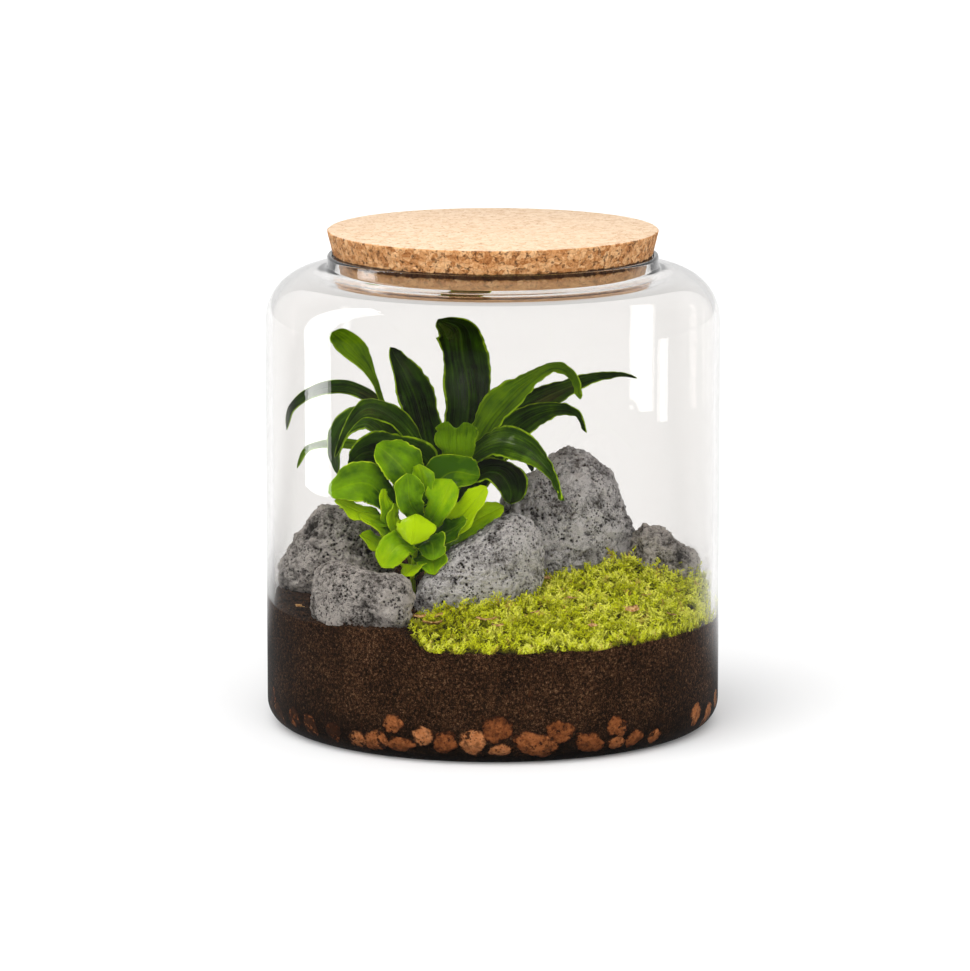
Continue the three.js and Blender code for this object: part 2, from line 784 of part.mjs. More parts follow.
darkLeaves.forEach((leaf) => {
  const [heading, height] = leaf.seat;
  const angle = THREE.MathUtils.degToRad(heading);
  const seat = [
    STEM_AT[0] + LEAF_SEAT * Math.cos(angle),
    STEM_AT[1] + LEAF_SEAT * Math.sin(angle),
    height,
  ];
  const geometry = blade({ ...leaf, rib: [seat, ...leaf.rib] }, 10, leaf.width > 15 ? 4 : 2);
  addMesh(leaf.name, geometry, darkLeafLook);
});

// The bright plant: leafy shoots, each a thin stem with its leaves grown on it
const brightShoots = [
  {
    name: 'bright_shoot_left',
    stem: [[-37, -5, ROOT_DEPTH], [-37, -5, 62], [-38, -11, 76], [-42, -18, 90], [-45, -23, 102]],
    leaves: [
      {
        rib: [[-44, -22, 100], [-58, -28, 116], [-75, -34, 113]],
        width: 17, face: [0.2, -1, 0.8],
      },
      {
        rib: [[-43, -20, 95], [-60, -27, 102], [-72, -33, 109]],
        width: 9, face: [0.3, -0.8, 0.8],
      },
      {
        rib: [[-42, -18, 90], [-58, -12, 97], [-71, -6, 101]],
        width: 11, face: [0.3, -0.2, 1],
      },
      {
        rib: [[-40, -15, 84], [-51, -25, 94], [-61, -31, 102]],
        width: 11, face: [0.3, -0.8, 1],
      },
      {
        rib: [[-43, -20, 94], [-49, -29, 104], [-50, -31, 114]],
        width: 8, face: [0.6, -1, 0.2],
      },
      {
        rib: [[-41, -17, 88], [-46, -27, 98], [-45, -30, 107]],
        width: 7, face: [0.5, -1, 0.2],
      },
      {
        rib: [[-39, -12, 79], [-52, -20, 86], [-61, -22, 91]],
        width: 11, face: [0.3, -0.8, 1],
      },
    ],
  },
  {
    name: 'bright_shoot_middle',
    stem: [[-31, -8, ROOT_DEPTH], [-31, -8, 64], [-30, -12, 76], [-31, -17, 92], [-34, -20, 108]],
    leaves: [
      {
        rib: [[-34, -20, 107], [-41, -25, 122], [-53, -27, 134]],
        width: 19, face: [0.5, -1, 0.4],
      },
      {
        rib: [[-34, -19, 104], [-32, -27, 116], [-34, -29, 125]],
        width: 10, face: [-0.2, -1, 0.2], shape: 'cupped',
      },
      {
        rib: [[-32, -18, 97], [-38, -30, 108], [-39, -31, 121]],
        width: 13, face: [0, -1, 0.2], shape: 'cupped',
      },
      {
        rib: [[-31, -17, 93], [-25, -30, 105], [-19, -29, 118]],
        width: 15, face: [-0.3, -1, 0.3], shape: 'cupped',
      },
      {
        rib: [[-30, -14, 84], [-14, -26, 101], [-3, -25, 114]],
        width: 14, face: [-0.5, -1, 0.5],
      },
      {
        rib: [[-30, -12, 78], [-11, -16, 98], [2, -15, 106]],
        width: 11, face: [-0.5, -1, 0.6],
      },
      {
        rib: [[-34, -19, 104], [-20, -18, 119], [-6, -20, 118]],
        width: 17, face: [-0.2, -1, 0.8],
      },
      {
        rib: [[-33, -18, 100], [-46, -9, 110], [-55, 1, 110]],
        width: 14, face: [0.3, 0.2, 1],
      },
      { rib: [[-31, -14, 84], [-39, -1, 89], [-47, 8, 88]], width: 12, face: [0, -0.3, 1] },
      {
        rib: [[-31, -15, 88], [-20, -28, 94], [-12, -33, 100]],
        width: 11, face: [-0.3, -1, 0.6],
      },
      {
        rib: [[-30, -11, 72], [-29, -9, 85], [-28, -9, 99]],
        width: 16, face: [0, -1, 0.1], shape: 'cupped',
      },
    ],
  },
  {
    name: 'bright_shoot_front',
    stem: [[-37, -17, ROOT_DEPTH], [-37, -17, 62], [-37, -20, 71], [-36, -26, 81], [-35, -30, 90]],
    leaves: [
      {
        rib: [[-35, -30, 89], [-35, -35, 101], [-35, -42, 104], [-36, -47, 98], [-37, -48, 91]],
        width: 17, face: [0, 1, 0.3], shape: 'cupped', fold: -0.4,
      },
      {
        rib: [[-36, -28, 86], [-43, -38, 89], [-51, -43, 80]],
        width: 14, face: [0.2, -0.8, 1],
      },
      {
        rib: [[-37, -23, 75], [-36, -34, 79], [-40, -41, 75]],
        width: 12, face: [0, -0.5, 1],
      },
      {
        rib: [[-35, -29, 88], [-28, -38, 90], [-27, -43, 83]],
        width: 13, face: [-0.4, -0.4, 1],
      },
      {
        rib: [[-36, -26, 81], [-28, -35, 82], [-27, -42, 76]],
        width: 12, face: [-0.3, -0.6, 1],
      },
      {
        rib: [[-37, -20, 70], [-33, -23, 80], [-31, -26, 89]],
        width: 10, face: [-0.1, -1, 0.2], shape: 'cupped',
      },
    ],
  },
];

function shootSolid({ stem: points, leaves }) {
  const section = new THREE.Shape().absarc(0, 0, SHOOT_RADIUS, 0, Math.PI * 2);
  const extrudePath = new THREE.CatmullRomCurve3(points.map((point) => new THREE.Vector3(...point)));
  const options = { steps: 6, curveSegments: 6, bevelEnabled: false, extrudePath };
  const stalk = solidOf(new THREE.ExtrudeGeometry(section, options));
  const blades = leaves.map((leaf) => {
    const cupped = { shape: 'oval', fold: 0.35, wave: 0.5, waves: 1.5, ...leaf };
    return solidOf(blade(cupped, 5, 2));
  });
  return unionOf([stalk, ...blades]);
}

brightShoots.forEach((shoot) => {
  addMesh(shoot.name, geometryOf(largestBody(shootSolid(shoot))), brightLeafLook);
});

export default terrarium;
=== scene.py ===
"""The looks of a closed glass terrarium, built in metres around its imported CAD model.

The jar's foot stands on z = 0 with its axis on +Z, and the photographed front faces -Y.
"""

from __future__ import annotations

import json
import logging
import math
import random
from dataclasses import dataclass, field, replace
from enum import Enum

import bmesh
import bpy
import numpy as np
from mathutils import Matrix, Vector, noise
from mathutils.bvhtree import BVHTree

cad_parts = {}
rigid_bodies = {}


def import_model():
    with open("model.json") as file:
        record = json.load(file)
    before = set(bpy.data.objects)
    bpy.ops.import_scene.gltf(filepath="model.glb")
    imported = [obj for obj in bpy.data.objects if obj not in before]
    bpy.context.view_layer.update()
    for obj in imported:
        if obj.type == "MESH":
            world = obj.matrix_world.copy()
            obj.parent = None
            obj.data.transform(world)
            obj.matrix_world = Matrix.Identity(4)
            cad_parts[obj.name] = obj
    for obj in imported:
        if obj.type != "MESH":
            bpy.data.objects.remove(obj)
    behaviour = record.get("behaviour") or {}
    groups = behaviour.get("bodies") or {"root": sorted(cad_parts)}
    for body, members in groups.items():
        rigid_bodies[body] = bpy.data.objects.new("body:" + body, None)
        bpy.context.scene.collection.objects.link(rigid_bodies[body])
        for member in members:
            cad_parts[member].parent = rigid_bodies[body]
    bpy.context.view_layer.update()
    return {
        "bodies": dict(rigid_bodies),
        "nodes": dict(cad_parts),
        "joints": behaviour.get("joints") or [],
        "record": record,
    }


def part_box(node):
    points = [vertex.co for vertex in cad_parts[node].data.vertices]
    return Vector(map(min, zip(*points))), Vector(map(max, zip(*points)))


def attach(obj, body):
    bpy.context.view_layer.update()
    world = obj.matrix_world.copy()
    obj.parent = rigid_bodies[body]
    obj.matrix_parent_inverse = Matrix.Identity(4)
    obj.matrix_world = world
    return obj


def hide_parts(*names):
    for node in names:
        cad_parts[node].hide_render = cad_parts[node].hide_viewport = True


LOG = logging.getLogger("terrarium")
MM = 0.001

# In millimetres: the filling's wall against the glass and its rounded foot, then how far out the
# stones and the soil's bank reach, and how far the small copies.
FILL_RADIUS = 102.1
FOOT_CENTRE = (93.8, 12.6)
FOOT_RADIUS = 8.3
BANK_REACH = 101.5
COPY_REACH = 101.9

Point = tuple[float, float, float]
Colour = tuple[float, float, float, float]


def srgb(red: int, green: int, blue: int) -> Colour:
    """Turn a colour seen on screen into the linear one that a socket takes.

    Args:
        red: Red, 0 to 255.
        green: Green, 0 to 255.
        blue: Blue, 0 to 255.

    Returns:
        The linear colour with full alpha.
    """

    def linear(value: int) -> float:
        """Linear share of one channel."""
        share = value / 255
        return share / 12.92 if share <= 0.04045 else ((share + 0.055) / 1.055) ** 2.4

    return (linear(red), linear(green), linear(blue), 1.0)


def smooth(low: float, high: float, value: float) -> float:
    """Smooth step from 0 at low to 1 at high."""
    share = min(max((value - low) / (high - low), 0.0), 1.0)
    return share * share * (3 - 2 * share)


def mix(start: float, end: float, share: float) -> float:
    """Value that lies that share of the way from start to end."""
    return start + (end - start) * share


class Signal:
    """A shader value with the usual arithmetic, which adds its Math nodes."""

    def __init__(self, tree: bpy.types.NodeTree, socket: bpy.types.NodeSocket) -> None:
        """Wrap one output socket of a node tree."""
        self.tree = tree
        self.socket = socket

    def _math(self, operation: str, first: Signal | float, second: Signal | float) -> Signal:
        """Add one Math node.

        Args:
            operation: The Math node's operation.
            first: Its first input.
            second: Its second input.

        Returns:
            The node's output.
        """
        node = self.tree.nodes.new("ShaderNodeMath")
        node.operation = operation
        for slot, value in enumerate((first, second)):
            if isinstance(value, Signal):
                self.tree.links.new(value.socket, node.inputs[slot])
            else:
                node.inputs[slot].default_value = value
        return Signal(self.tree, node.outputs[0])

    def __add__(self, other: Signal | float) -> Signal:
        """Sum."""
        return self._math("ADD", self, other)

    def __radd__(self, other: float) -> Signal:
        """Sum with a number in front."""
        return self._math("ADD", other, self)

    def __sub__(self, other: Signal | float) -> Signal:
        """Difference."""
        return self._math("SUBTRACT", self, other)

    def __rsub__(self, other: float) -> Signal:
        """Difference from a number."""
        return self._math("SUBTRACT", other, self)

    def __mul__(self, other: Signal | float) -> Signal:
        """Product."""
        return self._math("MULTIPLY", self, other)

    def __rmul__(self, other: float) -> Signal:
        """Product with a number in front."""
        return self._math("MULTIPLY", other, self)

    def __abs__(self) -> Signal:
        """Size without the sign."""
        return self._math("ABSOLUTE", self, 0.0)

    def least(self, other: Signal | float) -> Signal:
        """The smaller of the two."""
        return self._math("MINIMUM", self, other)


class Finish:
    """A material under construction: its node tree and the few ways to add to it."""

    def __init__(self, name: str) -> None:
        """Start a material with one Principled shader."""
        self.material = bpy.data.materials.new(name)
        self.material.use_nodes = True
        self.tree = self.material.node_tree
        self.shader = self.tree.nodes["Principled BSDF"]

    def node(self, kind: str, settings: dict | None = None, **values: object) -> bpy.types.Node:
        """Add a node.

        Args:
            kind: The node's type without "ShaderNode".
            settings: Properties that are set first; "stops" is a ramp's list of (place, colour).
            **values: Values or links of its sockets, with spaces written as underscores.

        Returns:
            The new node.
        """
        node = self.tree.nodes.new("ShaderNode" + kind)
        for name, setting in (settings or {}).items():
            if name == "stops":
                self._stops(node, setting)
            else:
                setattr(node, name, setting)
        for name, value in values.items():
            self.feed(node, name.replace("_", " "), value)
        return node

    @staticmethod
    def _stops(node: bpy.types.Node, stops: list) -> None:
        """Lay out a colour ramp's stops."""
        elements = node.color_ramp.elements
        while len(elements) < len(stops):
            elements.new(0.5)
        for element, (place, colour) in zip(elements, stops):
            element.position = place
            element.color = colour

    def feed(self, node: bpy.types.Node, name: str, value: object) -> None:
        """Link or set one socket of a node.

        Args:
            node: The node.
            name: The socket's name; of several with that name, the first that is enabled.
            value: A Signal, a socket, or a plain value.
        """
        enabled = [socket for socket in node.inputs if socket.name == name and socket.enabled]
        socket = enabled[0] if enabled else node.inputs[name]
        if isinstance(value, Signal):
            self.tree.links.new(value.socket, socket)
        elif isinstance(value, bpy.types.NodeSocket):
            self.tree.links.new(value, socket)
        else:
            socket.default_value = value

    def signal(self, socket: bpy.types.NodeSocket) -> Signal:
        """Wrap a socket for arithmetic."""
        return Signal(self.tree, socket)

    def place(self) -> bpy.types.NodeSocket:
        """Object coordinates, in metres."""
        return self.node("TexCoord").outputs["Object"]

    def attribute(self, name: str) -> Signal:
        """A number that the mesh carries for each of its corners."""
        return self.signal(self.node("Attribute", {"attribute_name": name}).outputs["Fac"])

    def axis(self, vector: bpy.types.NodeSocket, name: str) -> Signal:
        """One part of a vector, X, Y or Z."""
        return self.signal(self.node("SeparateXYZ", Vector=vector).outputs[name])

    def swap_shader(self, share: Signal | bpy.types.NodeSocket, other: bpy.types.Node) -> None:
        """Let another shader take over from the material's own.

        Args:
            share: Share of the other shader.
            other: Its node.
        """
        mixed = self.node("MixShader", Fac=share)
        links = self.tree.links
        links.new(self.shader.outputs["BSDF"], mixed.inputs[1])
        links.new(other.outputs["BSDF"], mixed.inputs[2])
        links.new(mixed.outputs["Shader"], self.tree.nodes["Material Output"].inputs["Surface"])

    def leaf_map(self) -> bpy.types.NodeSocket:
        """The piece's own UV map."""
        return self.node("UVMap", {"uv_map": "UVMap"}).outputs["UV"]

    def stretched(self, vector: bpy.types.NodeSocket, scale: Point) -> bpy.types.NodeSocket:
        """A vector scaled by another."""
        return self.node("Mapping", Vector=vector, Scale=scale).outputs["Vector"]

    def cloud(self, vector: bpy.types.NodeSocket, scale: float, detail: float = 4.0,
              rough: float = 0.5) -> Signal:
        """A noise texture.

        Args:
            vector: Where it is read.
            scale: Its scale, in waves per unit.
            detail: Octaves.
            rough: How much the finer octaves count.

        Returns:
            Its value, about 0.3 to 0.7.
        """
        node = self.node("TexNoise", Vector=vector, Scale=scale, Detail=detail, Roughness=rough)
        return self.signal(node.outputs["Fac"])

    def cells(self, vector: bpy.types.NodeSocket, scale: float,
              feature: str = "F1") -> bpy.types.Node:
        """A Voronoi texture."""
        return self.node("TexVoronoi", {"feature": feature}, Vector=vector, Scale=scale)

    def ramp(self, factor: Signal, *stops: tuple[float, tuple]) -> bpy.types.NodeSocket:
        """Colours along a value.

        Args:
            factor: The value that is looked up.
            *stops: Pairs of place and linear colour.

        Returns:
            The colour.
        """
        return self.node("ValToRGB", {"stops": list(stops)}, Fac=factor).outputs["Color"]

    def step(self, factor: Signal, low: float, high: float) -> Signal:
        """A smooth mask that rises from 0 at low to 1 at high."""
        node = self.node(
            "MapRange", {"interpolation_type": "SMOOTHSTEP"},
            Value=factor, From_Min=low, From_Max=high,
        )
        return self.signal(node.outputs["Result"])

    def blend(self, factor: Signal | float, first: object, second: object,
              how: str = "MIX") -> bpy.types.NodeSocket:
        """Mix two colours.

        Args:
            factor: Share of the second.
            first: First colour or socket.
            second: Second colour or socket.
            how: The blend type.

        Returns:
            The mixed colour.
        """
        node = self.tree.nodes.new("ShaderNodeMix")
        node.data_type = "RGBA"
        node.blend_type = how
        node.clamp_factor = True
        for index, value in ((0, factor), (6, first), (7, second)):
            if isinstance(value, Signal):
                self.tree.links.new(value.socket, node.inputs[index])
            elif isinstance(value, bpy.types.NodeSocket):
                self.tree.links.new(value, node.inputs[index])
            else:
                node.inputs[index].default_value = value
        return node.outputs[2]

    def relief(self, height: Signal, depth: float, strength: float = 1.0) -> None:
        """Bump the surface.

        Args:
            height: The height, about 0 to 1.
            depth: Metres that a height of 1 stands for.
            strength: How far the bump turns the normal.
        """
        bump = self.node("Bump", Height=height, Distance=depth, Strength=strength)
        self.feed(self.shader, "Normal", bump.outputs["Normal"])

    def paint(self, **values: object) -> None:
        """Set or link sockets of the shader."""
        for name, value in values.items():
            self.feed(self.shader, name.replace("_", " "), value)


@dataclass(frozen=True)
class ClearGlass:
    """Blown clear glass, which lets shadow rays straight through."""

    ior: float = 1.36
    tint: Colour = (0.906, 0.894, 0.882, 1.0)

    def material(self) -> bpy.types.Material:
        """Build the material."""
        finish = Finish("clear_glass")
        finish.paint(
            Base_Color=self.tint, Roughness=0.0, IOR=self.ior, Transmission_Weight=1.0,
        )
        clear = finish.node("BsdfTransparent", Color=(0.98, 0.98, 0.98, 1.0))
        path = finish.node("LightPath")
        finish.swap_shader(path.outputs["Is Shadow Ray"], clear)
        return finish.material


@dataclass(frozen=True)
class PressedCork:
    """Agglomerated cork: a paler face, partly sanded cork and partly painted top light, and a
    rougher, browner cut side.
    """

    painted_light_below: tuple[float, float] = (0.2135, 0.2165)
    lip_shadow_low: tuple[float, float] = (0.2154, 0.2163)
    lip_shadow_high: tuple[float, float] = (0.2185, 0.2191)

    def material(self) -> bpy.types.Material:
        """Build the material."""
        finish = Finish("pressed_cork")
        place = finish.place()
        up = finish.axis(place, "Z")
        top = finish.step(finish.axis(finish.node("NewGeometry").outputs["Normal"], "Z"), 0.5, 0.9)
        warp = finish.cloud(place, 260.0, 3.0)
        grains = finish.cells(finish.stretched(place, (1.0, 1.0, 1.3)), 330.0)
        grain_edge = finish.cells(place, 330.0, "DISTANCE_TO_EDGE")
        crumbs = finish.cloud(place, 900.0, 5.0, 0.65)
        specks = finish.cloud(place, 520.0, 2.0, 0.5)
        tone = finish.signal(grains.outputs["Color"])
        side = finish.ramp(
            tone * 0.45 + crumbs * 0.75 + warp * 0.2,
            (0.30, srgb(94, 55, 27)), (0.50, srgb(164, 104, 56)),
            (0.66, srgb(200, 143, 90)), (0.9, srgb(228, 180, 130)),
        )
        crevice = 1 - finish.step(finish.signal(grain_edge.outputs["Distance"]), 0.0, 0.09)
        pits = finish.step(finish.cloud(place, 430.0, 4.0, 0.6), 0.55, 0.63)
        side = finish.blend(crevice * 0.24 + pits * 0.68, side, srgb(70, 38, 20))
        face = finish.ramp(
            tone * 0.25 + crumbs * 0.7 + warp * 0.15,
            (0.3, srgb(190, 152, 117)), (0.5, srgb(214, 185, 154)), (0.7, srgb(226, 203, 177)),
        )
        fleck = finish.step(specks, 0.60, 0.66)
        face = finish.blend(fleck * 0.55, face, srgb(160, 106, 66))
        # Painted light: the cork is painted paler below the lip, where it is seen through the glass
        # neck.
        low = 1 - finish.step(up, *self.painted_light_below)
        # The upward face is painted paler: partly its sanded cork, partly painted top light.
        colour = finish.blend(top, side, face)
        colour = finish.blend(low * 0.45, colour, srgb(250, 204, 156))
        # Painted shadow: a dark ring is painted on the cork where the glass lip meets it.
        ragged = up + (warp - 0.5) * 0.002
        lip_shadow = finish.step(ragged, *self.lip_shadow_low) * (1 - finish.step(ragged, *self.lip_shadow_high))
        colour = finish.blend(lip_shadow * 0.92, colour, srgb(50, 29, 17))
        finish.paint(Base_Color=colour, Roughness=0.82, Specular_IOR_Level=0.25)
        height = tone * 0.25 + crumbs * 0.5 - crevice * 0.35 * (1 - top) - pits * 0.6 * (1 - top)
        finish.relief(height, 0.0007, 0.7)
        return finish.material


@dataclass(frozen=True)
class LavaStone:
    """Grey porous rock with pits, crags and pale rubbed lumps."""

    name: str
    light: Colour
    dark: Colour
    pore_scale: float = 640.0
    pore_shade: Colour = srgb(40, 36, 33)

    def material(self) -> bpy.types.Material:
        """Build the material."""
        finish = Finish(self.name)
        place = finish.place()
        broad = finish.cloud(place, 60.0, 5.0, 0.6)
        large = finish.cloud(place, 30.0, 3.0, 0.5)
        grain = finish.cloud(place, 620.0, 6.0, 0.7)
        fine = finish.cloud(place, 1900.0, 4.0, 0.7)
        pores = finish.signal(finish.cells(place, self.pore_scale).outputs["Distance"])
        pins = finish.signal(finish.cells(place, self.pore_scale * 1.9).outputs["Distance"])
        pore_mask = finish.step(finish.cloud(place, 95.0, 3.0), 0.42, 0.58)
        wide = finish.signal(finish.cells(place, self.pore_scale * 0.58).outputs["Distance"])
        holes = 1 - finish.step(wide, 0.16, 0.27)
        holes = holes * finish.step(finish.cloud(place, 120.0, 3.0), 0.46, 0.58)
        pit = ((1 - finish.step(pores, 0.16, 0.36)) * pore_mask + holes).least(1.0)
        pin = 1 - finish.step(pins, 0.12, 0.34)
        pin = pin * finish.step(finish.cloud(place, 150.0, 3.0), 0.40, 0.60)
        # Painted shade: how deeply each point lies sunk darkens the stone, in the ramp and the
        # blend below.
        hollow_shade = finish.attribute("hollow_shade")
        tone = broad * 0.50 + grain * 0.62 + fine * 0.36 + (large - 0.5) * 0.30 - 0.12
        colour = finish.ramp(
            tone + (0.3 - hollow_shade) * 0.30, (0.44, self.dark),
            (0.56, between(self.dark, self.light, 0.45)), (0.69, self.light),
        )
        colour = finish.blend(finish.step(hollow_shade, 0.45, 1.0) * 0.8, colour, srgb(38, 34, 31))
        # Painted shade: the pores and pinholes are painted near black.
        colour = finish.blend((pit * 0.78 + pin * 0.45).least(1.0), colour, self.pore_shade)
        warm = finish.step(finish.cloud(place, 120.0, 3.0), 0.60, 0.72)
        colour = finish.blend(warm * 0.22, colour, srgb(122, 96, 74))
        finish.paint(Base_Color=colour, Roughness=0.93, Specular_IOR_Level=0.12)
        finish.relief(grain * 0.9 + fine * 0.4 - pit * 0.8 - pin * 0.4 + broad * 0.4, 0.0030, 1.0)
        return finish.material


def between(first: Colour, second: Colour, share: float) -> Colour:
    """Colour that lies between two others."""
    return tuple(mix(a, b, share) for a, b in zip(first, second))


@dataclass(frozen=True)
class GrowingMix:
    """Dark soil of fine crumbs and brown fibres."""

    def material(self) -> bpy.types.Material:
        """Build the material."""
        finish = Finish("growing_mix")
        place = finish.place()
        broad = finish.cloud(place, 40.0, 3.0, 0.55)
        crumb = finish.cloud(place, 760.0, 6.0, 0.72)
        grit = finish.cloud(place, 1900.0, 3.0, 0.75)
        turned = finish.node(
            "Mapping", Vector=place, Scale=(1.0, 1.0, 0.28), Rotation=(0.5, 0.6, 0.3),
        )
        fibre = finish.cloud(turned.outputs["Vector"], 1100.0, 3.0, 0.6)
        crossed = finish.node(
            "Mapping", Vector=place, Scale=(0.3, 0.3, 1.2), Rotation=(0.2, -0.7, 0.9),
        )
        straw = finish.cloud(crossed.outputs["Vector"], 1250.0, 3.0, 0.6)
        colour = finish.ramp(
            crumb * 0.52 + grit * 0.48 + broad * 0.12,
            (0.48, srgb(14, 8, 3)), (0.55, srgb(44, 28, 15)),
            (0.62, srgb(88, 59, 38)), (0.71, srgb(164, 126, 94)),
        )
        colour = finish.blend(finish.step(fibre, 0.61, 0.70) * 0.7, colour, srgb(92, 54, 30))
        colour = finish.blend(finish.step(straw, 0.66, 0.74) * 0.6, colour, srgb(124, 88, 60))
        colour = finish.blend(finish.step(grit, 0.74, 0.80) * 0.7, colour, srgb(168, 146, 122))
        # Painted shade: the soil is painted darker towards the bottom, between and behind the
        # pebbles.
        pebble_gap_shade = 1 - finish.step(finish.axis(place, "Z"), 0.008, 0.026)
        colour = finish.blend(pebble_gap_shade * 0.7, colour, srgb(14, 8, 5))
        left = 1 - finish.step(finish.axis(place, "X"), -0.095, -0.030)
        colour = finish.blend(left * 0.32, colour, srgb(18, 11, 7))
        finish.paint(Base_Color=colour, Roughness=0.95, Specular_IOR_Level=0.05)
        finish.relief(crumb * 0.8 + grit * 0.4 + fibre * 0.3, 0.0012, 0.8)
        return finish.material


@dataclass(frozen=True)
class FiredClay:
    """Expanded clay pebbles with a dusty orange-brown skin."""

    def material(self) -> bpy.types.Material:
        """Build the material."""
        finish = Finish("fired_clay")
        place = finish.place()
        tint = finish.attribute("tint")
        grain = finish.cloud(place, 480.0, 6.0, 0.7)
        fine = finish.cloud(place, 1500.0, 3.0, 0.7)
        pressed = finish.attribute("pressed")
        colour = finish.ramp(
            grain * 0.6 + tint * 0.4 + fine * 0.12,
            (0.30, srgb(84, 44, 22)), (0.44, srgb(152, 88, 48)), (0.60, srgb(196, 122, 72)),
            (0.82, srgb(232, 162, 110)),
        )
        dirt = finish.step(finish.cloud(place, 230.0, 6.0, 0.7), 0.50, 0.62)
        colour = finish.blend(dirt * 0.55, colour, srgb(48, 27, 15))
        # Painted shade: each pebble is painted dark away from where it presses on the glass, round
        # its edge.
        rim = 1 - finish.step(pressed + (grain - 0.5) * 0.5, 0.04, 0.26)
        colour = finish.blend(rim * 0.9, colour, srgb(32, 18, 10))
        left = 1 - finish.step(finish.axis(place, "X"), -0.080, -0.045)
        buried = finish.step(finish.cloud(place, 170.0, 5.0, 0.7) + left * 0.16, 0.57, 0.62)
        colour = finish.blend(buried * 0.92, colour, srgb(36, 21, 12))
        specks = finish.cells(place, 620.0)
        speck = 1 - finish.step(finish.signal(specks.outputs["Distance"]), 0.12, 0.30)
        colour = finish.blend(speck * 0.6, colour, srgb(38, 22, 12))
        low = 1 - finish.step(finish.axis(place, "Z"), 0.004, 0.010)
        colour = finish.blend(low * 0.4, colour, srgb(34, 17, 9))
        finish.paint(Base_Color=colour, Roughness=0.9, Specular_IOR_Level=0.08)
        finish.relief(grain * 0.8 + fine * 0.4 + pressed * 5.0, 0.0009, 1.0)
        return finish.material


@dataclass(frozen=True)
class MossGreen:
    """Yellow-green moss shoots that turn olive and brown towards their feet, partly by their own
    colour and partly by painted shade between them.
    """

    def material(self) -> bpy.types.Material:
        """Build the material."""
        finish = Finish("moss_green")
        tint, high = (finish.axis(finish.leaf_map(), name) for name in "XY")
        place = finish.place()
        patch = finish.cloud(place, 70.0, 4.0, 0.6)
        # The moss is lighter towards the right.
        rightward = finish.step(finish.axis(place, "X"), -0.035, 0.03)
        # Darker towards each shoot's foot: partly its older olive growth, partly painted shade
        # between the shoots.
        tone = finish.step(high, 0.05, 0.8) * 0.66 + tint * 0.34
        tone = tone + (patch - 0.5) * 1.5 + rightward * 0.14 - 0.14
        colour = finish.ramp(
            tone,
            (0.0, srgb(30, 24, 2)), (0.25, srgb(98, 94, 0)), (0.5, srgb(172, 174, 4)),
            (0.72, srgb(220, 227, 26)), (0.95, srgb(247, 249, 104)),
        )
        dry = finish.step(tint, 0.93, 0.97)
        colour = finish.blend(dry * 0.7, colour, srgb(168, 116, 62))
        finish.paint(Base_Color=colour, Roughness=0.6, Specular_IOR_Level=0.25)
        return finish.material


@dataclass(frozen=True)
class MossFelt:
    """The brown-green felt under the moss shoots."""

    def material(self) -> bpy.types.Material:
        """Build the material."""
        finish = Finish("moss_felt")
        place = finish.place()
        grain = finish.cloud(place, 500.0, 5.0, 0.7)
        colour = finish.ramp(
            grain, (0.38, srgb(30, 22, 9)), (0.52, srgb(66, 58, 14)), (0.66, srgb(112, 108, 26)),
        )
        finish.paint(Base_Color=colour, Roughness=0.9, Specular_IOR_Level=0.15)
        finish.relief(grain, 0.001, 0.9)
        return finish.material


@dataclass(frozen=True)
class LeafSkin:
    """A glossy leaf with lengthwise veins, a paler margin and a tone of its own."""

    name: str
    deep: Colour
    mid: Colour
    pale: Colour
    margin: Colour
    roughness: float
    veins: float
    relief_depth: float
    specular: float = 0.08
    midrib: float = 0.12
    margin_from: float = 0.90
    streak: float = 1.1
    combed: float = 0.75
    rise: float = -0.12
    coat_ior: float = 1.9
    coat_roughness: float = 0.22

    def material(self) -> bpy.types.Material:
        """Build the material."""
        finish = Finish(self.name)
        uv = finish.leaf_map()
        across = abs(finish.axis(uv, "X") - 0.5) * 2
        along = finish.axis(uv, "Y")
        tone = finish.attribute("tone")
        place = finish.place()
        streaks = finish.cloud(finish.stretched(uv, (self.veins, 2.2, 1.0)), 1.0, 4.0, 0.6)
        ribs = finish.cloud(finish.stretched(uv, (self.veins * 2.6, 1.2, 1.0)), 1.0, 2.0, 0.5)
        mottle = finish.cloud(place, 90.0, 4.0, 0.6)
        shade = tone + (streaks - 0.5) * self.streak + (mottle - 0.5) * 0.9
        # With a positive rise, as on the bright leaves, the darker bases are painted shade deep in
        # the plant.
        shade = shade + (along - 0.5) * self.rise
        colour = finish.ramp(shade, (0.12, self.deep), (0.5, self.mid), (0.92, self.pale))
        midrib = 1 - finish.step(across, 0.01, 0.07)
        colour = finish.blend(midrib * self.midrib, colour, self.pale)
        lines = finish.cloud(finish.stretched(uv, (self.veins * 4.0, 1.6, 1.0)), 1.0, 3.0)
        lines = finish.step(lines, 0.36, 0.58)
        gloss = finish.attribute("coat")
        gloss = gloss * (lines * self.combed + 1.1 - self.combed) * (mottle * 1.8 + 0.15)
        gloss = gloss.least(1.0)
        broken = finish.step(finish.cloud(place, 240.0, 3.0), 0.40, 0.58) * 0.55 + 0.4
        rim = finish.step(across + (mottle - 0.5) * 0.10, self.margin_from, self.margin_from + 0.05)
        colour = finish.blend(rim * broken, colour, self.margin)
        finish.paint(
            Base_Color=colour, Roughness=self.roughness, Specular_IOR_Level=self.specular,
            Coat_Weight=gloss, Coat_IOR=self.coat_ior, Coat_Roughness=self.coat_roughness,
        )
        finish.relief(
            ribs + streaks * 0.6 - midrib * 0.5 + mottle * 0.5, self.relief_depth, 0.8,
        )
        return finish.material


